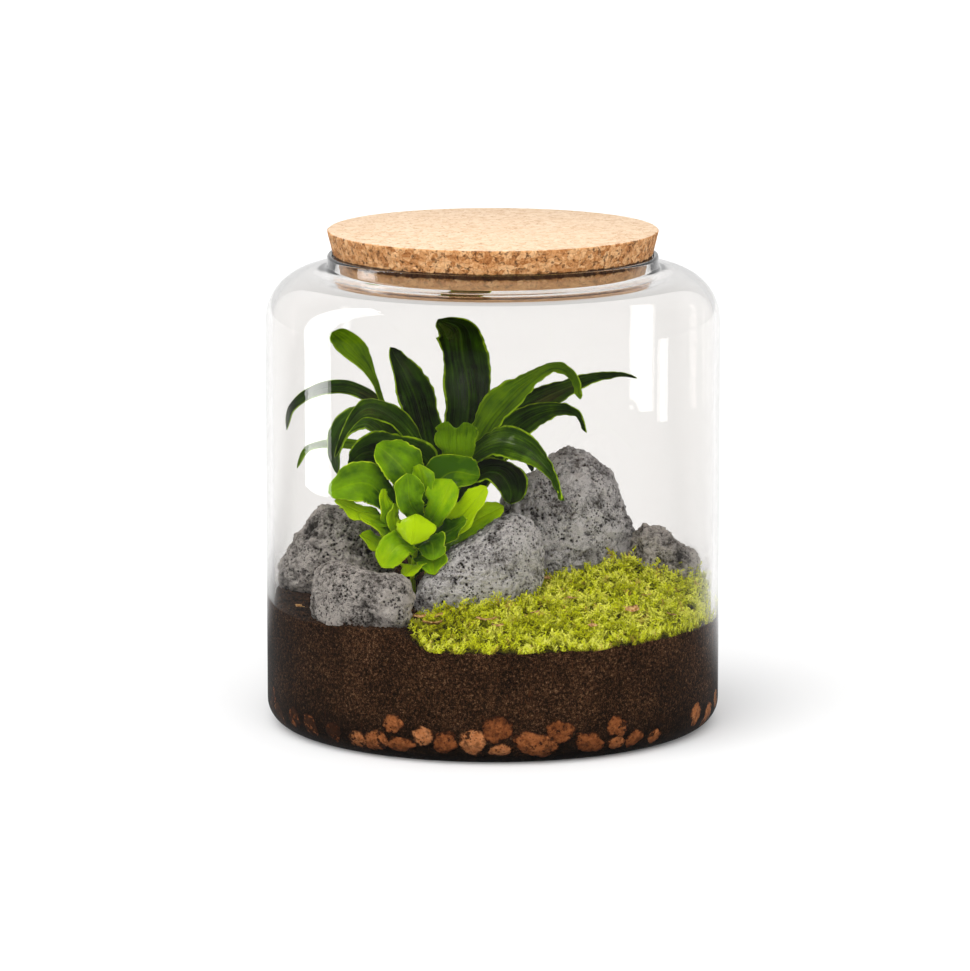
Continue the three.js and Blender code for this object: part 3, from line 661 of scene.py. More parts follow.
@dataclass(frozen=True)
class PlainSkin:
    """A matt skin with fine grain, for stalks and dry scraps."""

    name: str
    first: Colour
    second: Colour

    def material(self) -> bpy.types.Material:
        """Build the material."""
        finish = Finish(self.name)
        place = finish.place()
        grain = finish.cloud(finish.stretched(place, (1.0, 1.0, 0.25)), 700.0, 4.0, 0.6)
        colour = finish.ramp(grain, (0.4, self.first), (0.62, self.second))
        finish.paint(Base_Color=colour, Roughness=0.6, Specular_IOR_Level=0.3)
        finish.relief(grain, 0.0004, 0.6)
        return finish.material


def mesh_object(name: str, shape: bmesh.types.BMesh, material: bpy.types.Material,
                smooth_faces: bool = True) -> bpy.types.Object:
    """Turn a bmesh into an object at the origin.

    Args:
        name: The piece's name.
        shape: The finished bmesh, in metres; it is freed.
        material: Its material.
        smooth_faces: Whether its faces are shaded smooth.

    Returns:
        The object.
    """
    for face in shape.faces:
        face.smooth = smooth_faces
    mesh = bpy.data.meshes.new(name)
    shape.to_mesh(mesh)
    shape.free()
    mesh.materials.append(material)
    piece = bpy.data.objects.new(name, mesh)
    bpy.context.scene.collection.objects.link(piece)
    return piece


def settle(piece: bpy.types.Object, slot: str, *nodes: str) -> None:
    """Tie a piece to the jar's body and hide the CAD nodes that it stands for.

    Args:
        piece: The finished piece.
        slot: The record's material slot; not used.
        *nodes: The CAD nodes that it stands for.
    """
    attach(piece, "root")
    if nodes:
        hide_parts(*nodes)
    LOG.info("%s: %d faces", piece.name, len(piece.data.polygons))


def spun(profile: list[tuple[float, float]], steps: int) -> bmesh.types.BMesh:
    """Spin a closed profile round the jar's axis.

    Args:
        profile: Radius and height of each corner, in millimetres, from pole to pole.
        steps: Steps round the axis.

    Returns:
        The closed bmesh, in metres, with its normals outwards.
    """
    shape = bmesh.new()
    row = [shape.verts.new((radius * MM, 0.0, height * MM)) for radius, height in profile]
    edges = [shape.edges.new(pair) for pair in zip(row, row[1:])]
    bmesh.ops.spin(
        shape, geom=row + edges, cent=(0, 0, 0), axis=(0, 0, 1), angle=2 * math.pi,
        steps=steps, use_merge=True,
    )
    bmesh.ops.remove_doubles(shape, verts=shape.verts, dist=1e-6)
    bmesh.ops.recalc_face_normals(shape, faces=shape.faces)
    return shape


def arc(centre: tuple[float, float], radius: float, start: float, end: float,
        steps: int) -> list[tuple[float, float]]:
    """Points on an arc of a spun profile.

    Args:
        centre: Radius and height of its centre.
        radius: Its radius.
        start: First angle, in degrees from the outward radius.
        end: Last angle.
        steps: Number of steps.

    Returns:
        The points.
    """
    turns = [math.radians(mix(start, end, i / steps)) for i in range(steps + 1)]
    return [(centre[0] + radius * math.cos(t), centre[1] + radius * math.sin(t)) for t in turns]


def many(name: str, shapes: list[tuple[np.ndarray, np.ndarray]],
         copies: list[tuple[int, Matrix, float]], material: bpy.types.Material,
         smooth_faces: bool = False, wall: float = COPY_REACH) -> bpy.types.Object:
    """Set many copies of a few small shapes into one mesh.

    Args:
        name: The piece's name.
        shapes: Each shape's corners, in metres, and its triangles.
        copies: Which shape, where it goes, and its tint from 0 to 1.
        material: The material.
        smooth_faces: Whether the faces are shaded smooth.
        wall: Radius of the glass that they lie against, in millimetres.

    Returns:
        The object, whose UV map holds the tint and the height in the shape from 0 to 1.
    """
    corners, faces, tints, heights = [], [], [], []
    start = 0
    for index, matrix, tint in copies:
        points, triangles = shapes[index]
        turned = points @ np.array(matrix.to_3x3()).T + np.array(matrix.translation)
        top = max(points[:, 2].max(), 1e-6)
        flat = np.hypot(turned[:, 0], turned[:, 1])
        turned[:, :2] *= np.minimum(1.0, wall * MM / np.maximum(flat, 1e-9))[:, None]
        corners.append(turned)
        faces.append(triangles + start)
        heights.append(np.clip(points[:, 2] / top, 0, 1))
        tints.append(np.full(len(points), tint))
        start += len(points)
    mesh = bpy.data.meshes.new(name)
    triangles = np.concatenate(faces)
    mesh.from_pydata(np.concatenate(corners).tolist(), [], triangles.tolist())
    layer = mesh.uv_layers.new(name="UVMap")
    pairs = np.stack([np.concatenate(tints), np.concatenate(heights)], axis=1)
    layer.data.foreach_set("uv", pairs[triangles.ravel()].ravel().astype(np.float32))
    mesh.polygons.foreach_set("use_smooth", [smooth_faces] * len(triangles))
    mesh.materials.append(material)
    mesh.update()
    piece = bpy.data.objects.new(name, mesh)
    bpy.context.scene.collection.objects.link(piece)
    return piece


def shape_arrays(shape: bmesh.types.BMesh) -> tuple[np.ndarray, np.ndarray]:
    """Corners and triangles of a small bmesh, which is freed."""
    bmesh.ops.triangulate(shape, faces=shape.faces)
    shape.verts.index_update()
    corners = np.array([vertex.co[:] for vertex in shape.verts])
    triangles = np.array([[vertex.index for vertex in face.verts] for face in shape.faces])
    shape.free()
    return corners, triangles


@dataclass
class Jar:
    """The blown jar and the cork plug in its mouth, in millimetres."""

    radius: float = 105.0
    wall: float = 3.2
    floor: float = 4.6
    foot_corner: float = 11.0
    shoulder_start: float = 187.0
    shoulder_top: float = 211.5
    shoulder_radius: float = 81.0
    lip_outer: float = 76.4
    lip_inner: float = 74.1
    lip_top: float = 218.4
    lid_bottom: float = 208.3
    lid_top: float = 229.9
    lid_bottom_radius: float = 71.4
    lid_top_radius: float = 76.5
    steps: int = 160

    def shoulder(self, inset: float, steps: int) -> list[tuple[float, float]]:
        """Points on the shoulder's curve, from the wall to the lip."""
        width = self.radius - self.shoulder_radius - inset
        height = self.shoulder_top - self.shoulder_start - inset
        turns = [math.pi / 2 * i / steps for i in range(steps + 1)]
        return [
            (
                self.shoulder_radius + width * max(math.cos(t), 0.0) ** 0.96,
                self.shoulder_start + height * math.sin(t) ** 0.96,
            )
            for t in turns
        ]

    def build_glass(self) -> bpy.types.Object:
        """Spin the double wall from the punt over the lip and back to the floor."""
        corner = self.foot_corner
        inner_corner = 8.0
        inner = self.radius - self.wall
        outside = [
            (0, 1.2), (20, 1.2), (40, 1.2), (47, 1.15), (52, 0.7), (56, 0.1), (60, 0.0),
        ]
        outside += arc((self.radius - corner, corner), corner, -90, 0, 14)
        outside += [(self.radius, z) for z in range(20, 186, 15)]
        outside += self.shoulder(0, 18)
        outside += [
            (self.lip_outer + 1.6, self.shoulder_top + 0.15),
            (self.lip_outer + 0.5, self.shoulder_top + 0.6),
            (self.lip_outer, self.shoulder_top + 1.6),
        ]
        outside += arc((self.lip_outer - 1.3, self.lip_top - 1.3), 1.3, 0, 90, 5)
        outside += arc((self.lip_inner + 0.9, self.lip_top - 0.9), 0.9, 90, 180, 4)
        outside += [
            (self.lip_inner, self.shoulder_top),
            (self.lip_inner + 0.4, self.shoulder_top - 1.6),
            (self.lip_inner + 1.6, self.shoulder_top - 2.7),
        ]
        inside = self.shoulder(self.wall, 16)[::-1]
        inside += [(inner, z) for z in range(180, 20, -15)]
        inside += arc((inner - inner_corner, self.floor + inner_corner), inner_corner, 0, -90, 8)
        inside += [(60, self.floor), (30, self.floor), (0, self.floor)]
        shape = spun(outside + inside, self.steps)
        jar = mesh_object("glass_jar_body", shape, ClearGlass().material())
        settle(jar, "glass", "glass_jar")
        return jar

    def build_cork(self) -> bpy.types.Object:
        """Spin the tapered plug and roughen its side."""
        rows = 34
        face = [(self.lid_top_radius - 0.8, self.lid_top), (0, self.lid_top)]
        base = [(0, self.lid_bottom), (self.lid_bottom_radius - 0.8, self.lid_bottom)]
        side = [
            (
                mix(self.lid_bottom_radius, self.lid_top_radius, i / rows),
                mix(self.lid_bottom + 0.6, self.lid_top - 0.6, i / rows),
            )
            for i in range(rows + 1)
        ]
        shape = spun(base + side + face, 420)
        for vertex in shape.verts:
            flat = Vector((vertex.co.x, vertex.co.y, 0.0))
            if flat.length < (self.lid_bottom_radius - 1.5) * MM:
                continue
            lump = noise.fractal(vertex.co * 420, 0.8, 2.0, 3)
            chip = max(noise.noise(vertex.co * 900) - 0.25, 0.0)
            vertex.co -= flat.normalized() * (0.20 + 0.16 * lump + 0.7 * chip) * MM
        piece = mesh_object("cork_plug", shape, PressedCork().material())
        settle(piece, "cork", "cork_lid")
        return piece


def inner_wall(z: float) -> float:
    """Radius at which the filling touches the glass at a height, both in millimetres."""
    if z >= FOOT_CENTRE[1]:
        return FILL_RADIUS
    return FOOT_CENTRE[0] + math.sqrt(max(FOOT_RADIUS**2 - (FOOT_CENTRE[1] - z) ** 2, 0.0))


def soil_height(x: float, y: float) -> float:
    """Height of the soil at a place, in millimetres: a shelf at the left, a bank at the right."""
    front_glass = -math.sqrt(max(BANK_REACH**2 - x * x, 0.0))
    climb = min(max((y - front_glass) / 85, 0.0), 1.0) ** 0.9
    bank = 51.5 + (8 + 8 * smooth(20, 60, x)) * climb
    shelf = 59.5 + 1.6 * math.sin(0.05 * y + 1)
    front = mix(shelf, bank, smooth(-46, -26, x))
    bumps = 0.6 * math.sin(0.23 * x + 0.4) * math.sin(0.19 * y)
    return mix(front, 60, smooth(20, 70, y)) + bumps


@dataclass
class StoneBlock:
    """One porous stone, grown over its CAD solid.

    Its pits are the depth of its open pores, in millimetres, and rugged is 1 for the craggiest.
    """

    node: str
    seed: int
    finish: bpy.types.Material
    pits: float
    rugged: float
    tree: BVHTree | None = None

    def build(self, frame: dict) -> bpy.types.Object:
        """Cast a fine ball on the CAD solid, round it off, and roughen it.

        Args:
            frame: The loaded frame.

        Returns:
            The piece.
        """
        solid = bmesh.new()
        solid.from_mesh(frame["nodes"][self.node].data)
        bmesh.ops.remove_doubles(solid, verts=solid.verts, dist=1e-6)
        tree = BVHTree.FromBMesh(solid)
        low, high = (Vector(corner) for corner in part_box(self.node))
        centre = (low + high) / 2
        shape = bmesh.new()
        bmesh.ops.create_icosphere(shape, subdivisions=7, radius=1.0)
        for vertex in shape.verts:
            hit = tree.ray_cast(centre, vertex.co)
            vertex.co = hit[0] if hit[0] else centre
        solid.free()
        for _ in range(8):
            bmesh.ops.smooth_vert(
                shape, verts=shape.verts, factor=0.5,
                use_axis_x=True, use_axis_y=True, use_axis_z=True,
            )
        shape.normal_update()
        hollow_shade = shape.verts.layers.float.new("hollow_shade")
        moves = [self.roughness_at(vertex) for vertex in shape.verts]
        for vertex, (move, depth) in zip(shape.verts, moves):
            vertex.co += vertex.normal * move * MM
            vertex[hollow_shade] = depth
            flat = math.hypot(vertex.co.x, vertex.co.y)
            if flat > BANK_REACH * MM:
                vertex.co.x *= BANK_REACH * MM / flat
                vertex.co.y *= BANK_REACH * MM / flat
        shape.normal_update()
        self.tree = BVHTree.FromBMesh(shape)
        piece = mesh_object(self.node + "_rock", shape, self.finish)
        thinned = piece.modifiers.new("thinned", "DECIMATE")
        thinned.ratio = 0.62
        settle(piece, "stone", self.node)
        return piece

    def roughness_at(self, vertex: bmesh.types.BMVert) -> tuple[float, float]:
        """How far one point of the stone moves.

        Args:
            vertex: The point.

        Returns:
            Its move along the normal, in millimetres, and how deeply it lies sunk, 0 to 1, which
            the stone's material paints as shade.
        """
        at = vertex.co * 1000 + Vector((13.7, 7.1, 3.3)) * self.seed
        broad = noise.fractal(at / 17, 0.7, 2.1, 3)
        crag = noise.ridged_multi_fractal(at / 11, 0.9, 2.2, 4, 1.0, 2.0)
        grain = noise.fractal(at / 3.2, 0.65, 2.0, 4)
        cells = noise.voronoi(at / 2.6, distance_metric="DISTANCE")[0][0]
        small = noise.voronoi(at / 1.5, distance_metric="DISTANCE")[0][0]
        open_pore = smooth(-0.1, 0.35, noise.noise(at / 12 + Vector((5, 1, 9))))
        pit = (1 - smooth(0.14, 0.34, cells)) * open_pore
        pin = (1 - smooth(0.15, 0.38, small)) * (0.35 + 0.65 * open_pore)
        rough = noise.turbulence(at / 7.5, 4, True, amplitude_scale=0.6, frequency_scale=2.1)
        move = 1.4 * broad + 1.0 * (crag - 1.0) + 1.0 * grain + 1.6 * (rough - 0.5)
        move *= self.rugged
        move -= self.pits * pit + 0.4 * self.pits * pin
        hollow_shade = 0.25 + pit * 0.8 + pin * 0.5 - grain * 0.35
        hollow_shade -= 0.35 * (crag - 1.0) + 0.3 * (rough - 0.5)
        hollow_shade = min(max(hollow_shade, 0.0), 1.0)
        return move, hollow_shade


@dataclass
class Filling:
    """Soil, clay pebbles and crumbs, in millimetres."""

    wall_radius: float = FILL_RADIUS
    bottom: float = 4.3
    pebble_bottom: float = 4.1
    wall_from: float = 14.5
    wall_to: float = 59.0
    level: float = 60.0
    steps: int = 360
    pebbles: list[tuple[float, float, float]] = field(default_factory=lambda: [
        (-45, 10, 11), (-37, 9, 12), (-31, 10, 16), (-26, 17, 12), (-24, 9, 16), (-18, 13, 12),
        (-12, 11, 14), (-5, 12, 15), (1, 17, 18), (2, 8, 12), (10, 11, 26), (17, 15, 17),
        (25, 10, 20), (33, 15, 15), (33, 8, 11), (39, 9, 11), (46, 8, 9), (64, 12, 13),
        (73, 10, 13), (81, 13, 11), (89, 11, 10),
    ])

    def all_pebbles(self) -> list[tuple[float, float, float]]:
        """The pebbles at the glass: degrees right of the front, height, length."""
        source = random.Random(12)
        ring = list(self.pebbles)
        angle = 97.0
        while angle < 312:
            length = source.uniform(11, 18)
            ring.append((angle, source.uniform(8.5, 11.5), length))
            if source.random() < 0.35:
                ring.append((angle + 3, source.uniform(15, 18), source.uniform(9, 13)))
            angle += math.degrees(length / 97) * 1.02
        return ring

    def build_soil(self) -> bpy.types.Object:
        """Spin the soil, give its top its slopes and pull its foot in behind the pebbles."""
        rings = 46
        profile = [(0.0, self.bottom), (50.0, self.bottom), (92.0, self.bottom)]
        profile += arc(FOOT_CENTRE, FOOT_RADIUS, -86, 0, 9)
        profile += [(self.wall_radius, z) for z in np.linspace(self.wall_from, self.wall_to, 40)]
        profile += [
            (self.wall_radius * (1 - i / rings) ** 0.85, self.level) for i in range(1, rings + 1)
        ]
        shape = spun(profile, self.steps)
        for vertex in shape.verts:
            x, y, z = (value * 1000 for value in vertex.co)
            flat = math.hypot(x, y)
            on_top = z > self.level - 0.1
            if on_top or (z > 20 and flat > self.wall_radius - 0.05):
                top = soil_height(x, y)
                share = (min(z, self.wall_to) - self.wall_from) / (self.wall_to - self.wall_from)
                z = top if on_top else mix(self.wall_from, top - 0.6, share)
                if flat < self.wall_radius - 0.6:
                    z += 0.9 * noise.fractal(Vector((x, y, 0)) / 4.0, 0.7, 2.0, 4)
            vertex.co = (x * MM, y * MM, z * MM)
        bmesh.ops.recalc_face_normals(shape, faces=shape.faces)
        piece = mesh_object("soil_fill", shape, GrowingMix().material())
        settle(piece, "soil", "soil")
        return piece

    def build_pebbles(self) -> bpy.types.Object:
        """Set lumpy pebbles against the glass, round the whole foot."""
        source = random.Random(31)
        whole = bmesh.new()
        tint = whole.verts.layers.float.new("tint")
        pressed = whole.verts.layers.float.new("pressed")
        for angle, height, length in self.all_pebbles():
            tall = min(length * source.uniform(0.78, 0.9), 2 * (height - 5.0))
            deep = min(length, 15) * 0.85
            turn = Matrix.Rotation(math.radians(angle), 4, "Z")
            back = inner_wall(height) + 2.4 - deep / 2
            place = turn @ Matrix.Translation((0, -back * MM, height * MM))
            tilt = Matrix.Rotation(source.uniform(-0.3, 0.3), 4, "Y")
            scale = Matrix.Diagonal((length / 2 * MM, deep / 2 * MM, tall / 2 * MM, 1))
            fineness = 5 if abs(angle) < 95 else 4
            made = bmesh.ops.create_icosphere(whole, subdivisions=fineness, radius=1.0)
            seed = Vector((source.uniform(0, 50), source.uniform(0, 50), 0))
            shade = source.uniform(0.1, 0.9)
            for vertex in made["verts"]:
                ball = vertex.co.copy()
                lump = 0.16 * noise.fractal(ball * 1.5 + seed, 0.8, 2.0, 3)
                pit = 0.045 * noise.fractal(ball * 6 + seed, 0.8, 2.0, 3)
                at = place @ tilt @ scale @ (ball * (1 + lump + pit))
                flat = math.hypot(at.x, at.y)
                at.z = max(at.z, self.pebble_bottom * MM)
                edge = (inner_wall(at.z * 1000) + 0.1) * MM
                vertex[pressed] = min(max((flat - edge) / (4.0 * MM), 0.0), 1.0)
                if flat > edge:
                    limit = edge + min((flat - edge) * 0.12, 0.3 * MM)
                    at.x, at.y = at.x * limit / flat, at.y * limit / flat
                vertex.co = at
                vertex[tint] = shade
        piece = mesh_object("clay_pebble_layer", whole, FiredClay().material())
        settle(piece, "clay", "clay_pebbles")
        return piece

    def build_crumbs(self, count: int) -> bpy.types.Object:
        """Scatter crumbs over the bare soil.

        Args:
            count: How many are tried; most that would lie under the moss are dropped.

        Returns:
            The piece.
        """
        source = random.Random(5)
        shapes = []
        for index in range(5):
            shape = bmesh.new()
            bmesh.ops.create_icosphere(shape, subdivisions=1, radius=1.0)
            for vertex in shape.verts:
                vertex.co *= 1 + 0.45 * noise.noise(vertex.co * 1.7 + Vector((index, 3, 1)))
            shapes.append(shape_arrays(shape))
        copies = []
        for _ in range(count):
            angle = source.uniform(0, 2 * math.pi)
            reach = 100.6 * source.random() ** 0.5
            x, y = reach * math.cos(angle), reach * math.sin(angle)
            if inside_moss(x, y) and source.random() < 0.8:
                continue
            size = source.uniform(0.35, 1.0) * (1.5 if source.random() < 0.08 else 1.0)
            z = soil_height(x, y) + size * 0.3
            deep = size * source.uniform(0.5, 1)
            stretch = Matrix.Diagonal((size * MM, deep * MM, size * 0.7 * MM, 1))
            spin = Matrix.Rotation(source.uniform(0, 6), 4, "Z")
            turn = spin @ Matrix.Rotation(source.uniform(-1, 1), 4, "X")
            place = Matrix.Translation((x * MM, y * MM, z * MM))
            copies.append((source.randrange(5), place @ turn @ stretch, source.random()))
        piece = many("soil_crumbs", shapes, copies, bpy.data.materials["growing_mix"], True)
        settle(piece, "soil")
        return piece


def build_scraps() -> bpy.types.Object:
    """Drop a few dry, curled scraps of bark and leaf on the moss and the soil."""
    source = random.Random(17)
    shapes = []
    for index in range(4):
        shape = bmesh.new()
        bmesh.ops.create_grid(shape, x_segments=5, y_segments=4, size=1.0)
        for vertex in shape.verts:
            x, y = vertex.co.x, vertex.co.y
            ragged = 1 + 0.45 * noise.noise(Vector((x * 1.3, y * 1.3, index * 5)))
            vertex.co = (x * ragged, y * 0.6 * ragged, 0.35 + 0.3 * x * x - 0.15 * y)
        bmesh.ops.solidify(shape, geom=shape.faces, thickness=0.12)
        bmesh.ops.recalc_face_normals(shape, faces=shape.faces)
        shapes.append(shape_arrays(shape))
    spots = [
        (-27, -84, 4.5), (-24, -70, 3.0), (-33, -77, 2.6), (-3, -79, 4.0), (2, -88, 2.6),
        (19, -66, 2.4),
        (44, -84, 2.2), (62, -62, 3.2), (70, -42, 2.0), (36, -46, 2.2), (10, -20, 2.0),
        (80, -58, 2.0),
        (-60, -72, 2.2), (-78, -52, 2.0), (-88, -36, 2.4), (26, -8, 2.2),
    ]
    copies = []
    for x, y, size in spots:
        lift = 7.6 if inside_moss(x, y) else 0.8
        place = Matrix.Translation((x * MM, y * MM, (soil_height(x, y) + lift) * MM))
        spin = Matrix.Rotation(source.uniform(0, 6), 4, "Z")
        turn = spin @ Matrix.Rotation(source.uniform(0.1, 0.7), 4, "X")
        scale = Matrix.Diagonal((size * MM, size * 0.9 * MM, size * 0.8 * MM, 1))
        copies.append((source.randrange(4), place @ turn @ scale, source.random()))
    bark = PlainSkin("dry_scrap", srgb(156, 100, 40), srgb(244, 204, 140)).material()
    piece = many("dry_scraps", shapes, copies, bark, True)
    settle(piece, "soil")
    return piece


MOSS_OUTLINE = [
    (-36, -78), (-30, -96), (0, -110), (60, -100), (105, -60), (112, 0), (100, 21), (84, 14),
    (60, 8), (36, 6), (18, -4), (2, -30), (-18, -38), (-30, -52),
]


def inside_moss(x: float, y: float) -> bool:
    """Whether a place, in millimetres, lies in the moss carpet's outline."""
    inside = False
    for (ax, ay), (bx, by) in zip(MOSS_OUTLINE, MOSS_OUTLINE[1:] + MOSS_OUTLINE[:1]):
        if (ay > y) != (by > y) and x < (bx - ax) * (y - ay) / (by - ay) + ax:
            inside = not inside
    return inside


@dataclass
class MossCarpet:
    """Feathery shoots over a felt that follows the soil."""

    left: float = -40.0
    front: float = -101.0
    back: float = 24.0
    spacing: float = 2.0
    seed: int = 9
    kinds: int = 7
    tufts: tuple[tuple[float, float], ...] = (
        (84, 9), (76, 7), (93, 12), (64, 3), (46, 2), (28, -6), (6, -30), (-12, -44), (-24, -60),
        (97, -4),
        (88, -24), (-26, -72),
    )

    def shoot_shape(self, source: random.Random) -> tuple[np.ndarray, np.ndarray]:
        """One bent shoot of narrow leaflets, a unit high.

        Args:
            source: Random numbers.

        Returns:
            Its corners and triangles.
        """
        shape = bmesh.new()
        lean = Vector((source.uniform(-0.45, 0.45), source.uniform(-0.45, 0.45), 0))
        whorls = 9
        for index in range(whorls):
            up = 0.10 + 0.80 * index / (whorls - 1)
            stalk = Vector((0, 0, up)) + lean * up * up
            for side in range(2):
                turn = index * 2.4 + side * math.pi + source.uniform(-0.4, 0.4)
                out = Vector((math.cos(turn), math.sin(turn), 0))
                across = Vector((-out.y, out.x, 0))
                length = mix(0.34, 0.2, up) * source.uniform(0.8, 1.25)
                width = 0.06
                rise = source.uniform(0.25, 0.9)
                tip = stalk + out * length + Vector((0, 0, length * rise))
                belly = stalk + out * length * 0.5 + Vector((0, 0, length * 0.35))
                corners = [stalk, belly + across * width, tip, belly - across * width]
                shape.faces.new([shape.verts.new(corner) for corner in corners])
        crown = [
            Vector((0.05, 0, 0.86)), Vector((-0.03, 0.045, 0.86)), Vector((-0.03, -0.045, 0.86)),
        ]
        tip = shape.verts.new(Vector((0, 0, 1.04)) + lean)
        ring = [shape.verts.new(corner + lean * 0.8) for corner in crown]
        for first, second in zip(ring, ring[1:] + ring[:1]):
            shape.faces.new((first, second, tip))
        return shape_arrays(shape)

    def build(self, stones: list[StoneBlock]) -> list[bpy.types.Object]:
        """Make the felt and plant the shoots on it.

        Args:
            stones: The stones, which the moss keeps clear of.

        Returns:
            The pieces.
        """
        source = random.Random(self.seed)
        shapes = [self.shoot_shape(source) for _ in range(self.kinds)]
        copies = []
        y = self.front
        while y < self.back:
            x = self.left
            while x < 103:
                at_x = x + source.uniform(-0.8, 0.8)
                at_y = y + source.uniform(-0.8, 0.8)
                x += self.spacing
                edge = noise.noise(Vector((at_x, at_y, 0)) / 9) * 4.5
                if math.hypot(at_x, at_y) > 101.0 or not inside_moss(at_x + edge, at_y + edge):
                    continue
                bare = noise.noise(Vector((at_x, at_y, 60)) / 5)
                if self.covered(stones, at_x, at_y) or bare > mix(0.12, 0.9, smooth(-25, 20, at_x)):
                    continue
                copies.append(self.plant(source, at_x, at_y))
            y += self.spacing * 0.87
        copies += self.rim_shoots(source)
        for x, y in self.tufts:
            for _ in range(9):
                at_x, at_y = x + source.gauss(0, 2), y + source.gauss(0, 2)
                shape, place, tint = self.plant(source, at_x, at_y)
                taller = Matrix.Diagonal((0.9, 0.9, source.uniform(1.15, 1.5), 1))
                copies.append((shape, place @ taller, tint))
        moss = many("moss_shoots", shapes, copies, MossGreen().material())
        settle(moss, "moss", "moss_carpet")
        return [moss, self.build_felt()]

    def rim_shoots(self, source: random.Random) -> list[tuple[int, Matrix, float]]:
        """Shoots that lie against the glass and hang a little over the soil.

        Args:
            source: Random numbers.

        Returns:
            Which shape each is, its place, and its tint.
        """
        copies = []
        for _ in range(1100):
            turn = math.radians(source.uniform(-112, 14))
            reach = source.uniform(100.2, COPY_REACH)
            x, y = reach * math.cos(turn), reach * math.sin(turn)
            edge = noise.noise(Vector((x, y, 0)) / 9) * 4.5
            if not inside_moss(x * 0.97 + edge, y * 0.97 + edge):
                continue
            hang = 1.2 + 3.4 * noise.noise(Vector((x, y, 8)) / 7) + source.uniform(-1.5, 1.5)
            place = Matrix.Translation((x * MM, y * MM, (soil_height(x, y) - hang) * MM))
            spin = Matrix.Rotation(source.uniform(0, 6.28), 4, "Z")
            lean = Matrix.Rotation(source.uniform(-0.6, 0.6), 4, "X")
            size = Matrix.Diagonal((5.2 * MM, 5.2 * MM, source.uniform(4.0, 6.5) * MM, 1))
            whole = place @ lean @ spin @ size
            copies.append((source.randrange(self.kinds), whole, source.random()))
        return copies

    @staticmethod
    def covered(stones: list[StoneBlock], x: float, y: float) -> bool:
        """Whether a stone stands over a place, in millimetres."""
        start = Vector((x * MM, y * MM, 0.13))
        limit = (soil_height(x, y) + 3.0) * MM
        for stone in stones:
            hit = stone.tree.ray_cast(start, Vector((0, 0, -1)))
            if hit[0] and hit[0].z > limit:
                return True
        return False

    def plant(self, source: random.Random, x: float, y: float) -> tuple[int, Matrix, float]:
        """Place one shoot.

        Args:
            source: Random numbers.
            x: Where it grows.
            y: Where it grows.

        Returns:
            Which shape it is, its place, and its tint.
        """
        cushion = noise.fractal(Vector((x, y, 3)) / 11, 0.8, 2.0, 2)
        tall = 6.4 + 3.4 * cushion + source.uniform(-1.6, 1.8)
        if source.random() < 0.04:
            tall += source.uniform(1.5, 4)
        wide = source.uniform(5.6, 8.2)
        lean_x, lean_y = source.uniform(-0.8, 0.8), source.uniform(-0.8, 0.8)
        place = Matrix.Translation((x * MM, y * MM, (soil_height(x, y) + 1.0 + 1.2 * cushion) * MM))
        turn = Matrix.Rotation(lean_x, 4, "X") @ Matrix.Rotation(lean_y, 4, "Y")
        spin = Matrix.Rotation(source.uniform(0, 6.28), 4, "Z")
        size = Matrix.Diagonal((wide * MM, wide * MM, tall * MM, 1))
        return source.randrange(self.kinds), place @ turn @ spin @ size, source.random()

    def build_felt(self) -> bpy.types.Object:
        """Lay the felt as a thin grid over the soil, cut to the carpet's outline."""
        shape = bmesh.new()
        bmesh.ops.create_grid(shape, x_segments=110, y_segments=96, size=0.5)
        for vertex in shape.verts:
            x = mix(self.left, 102, vertex.co.x + 0.5)
            y = mix(self.front, self.back, vertex.co.y + 0.5)
            rough = noise.fractal(Vector((x, y, 0)) / 3, 0.8, 2.0, 3)
            vertex.co = (x * MM, y * MM, (soil_height(x, y) + 1.3 + 0.7 * rough) * MM)
        outside = [
            vertex for vertex in shape.verts
            if math.hypot(vertex.co.x, vertex.co.y) > COPY_REACH * MM
            or not inside_moss(vertex.co.x * 1000, vertex.co.y * 1000)
        ]
        bmesh.ops.delete(shape, geom=outside, context="VERTS")
        bmesh.ops.solidify(shape, geom=shape.faces, thickness=1.2 * MM)
        bmesh.ops.recalc_face_normals(shape, faces=shape.faces)
        piece = mesh_object("moss_felt_layer", shape, MossFelt().material())
        settle(piece, "moss")
        return piece


class LeafForm(Enum):
    """Outlines of a leaf: share of the length, share of the full width."""

    STRAP = ((0, 0.2), (0.16, 0.6), (0.38, 1), (0.68, 0.92), (0.86, 0.6), (0.95, 0.32), (1, 0.1))
    TALL = ((0, 0.18), (0.2, 0.72), (0.42, 1), (0.8, 0.95), (0.9, 0.78), (0.96, 0.5), (1, 0.2))
    SPOON = ((0, 0.24), (0.62, 0.22), (0.72, 0.4), (0.85, 1), (0.94, 0.98), (1, 0.8))
    OVAL = ((0, 0.14), (0.22, 0.66), (0.5, 1), (0.76, 0.88), (0.9, 0.6), (1, 0.3))
    CUPPED = ((0, 0.2), (0.2, 0.4), (0.45, 0.76), (0.7, 1), (0.88, 0.88), (1, 0.5))
    HEART = ((0, 0.2), (0.25, 0.45), (0.55, 0.86), (0.8, 1), (1, 1))
    TAILED = ((0, 0.2), (0.18, 0.7), (0.42, 1), (0.62, 0.9), (0.76, 0.5), (0.87, 0.24), (1, 0.08))
    ARCHED = ((0, 0.24), (0.16, 0.7), (0.34, 1), (0.52, 0.92), (0.66, 0.5), (0.78, 0.36), (1, 0.16))


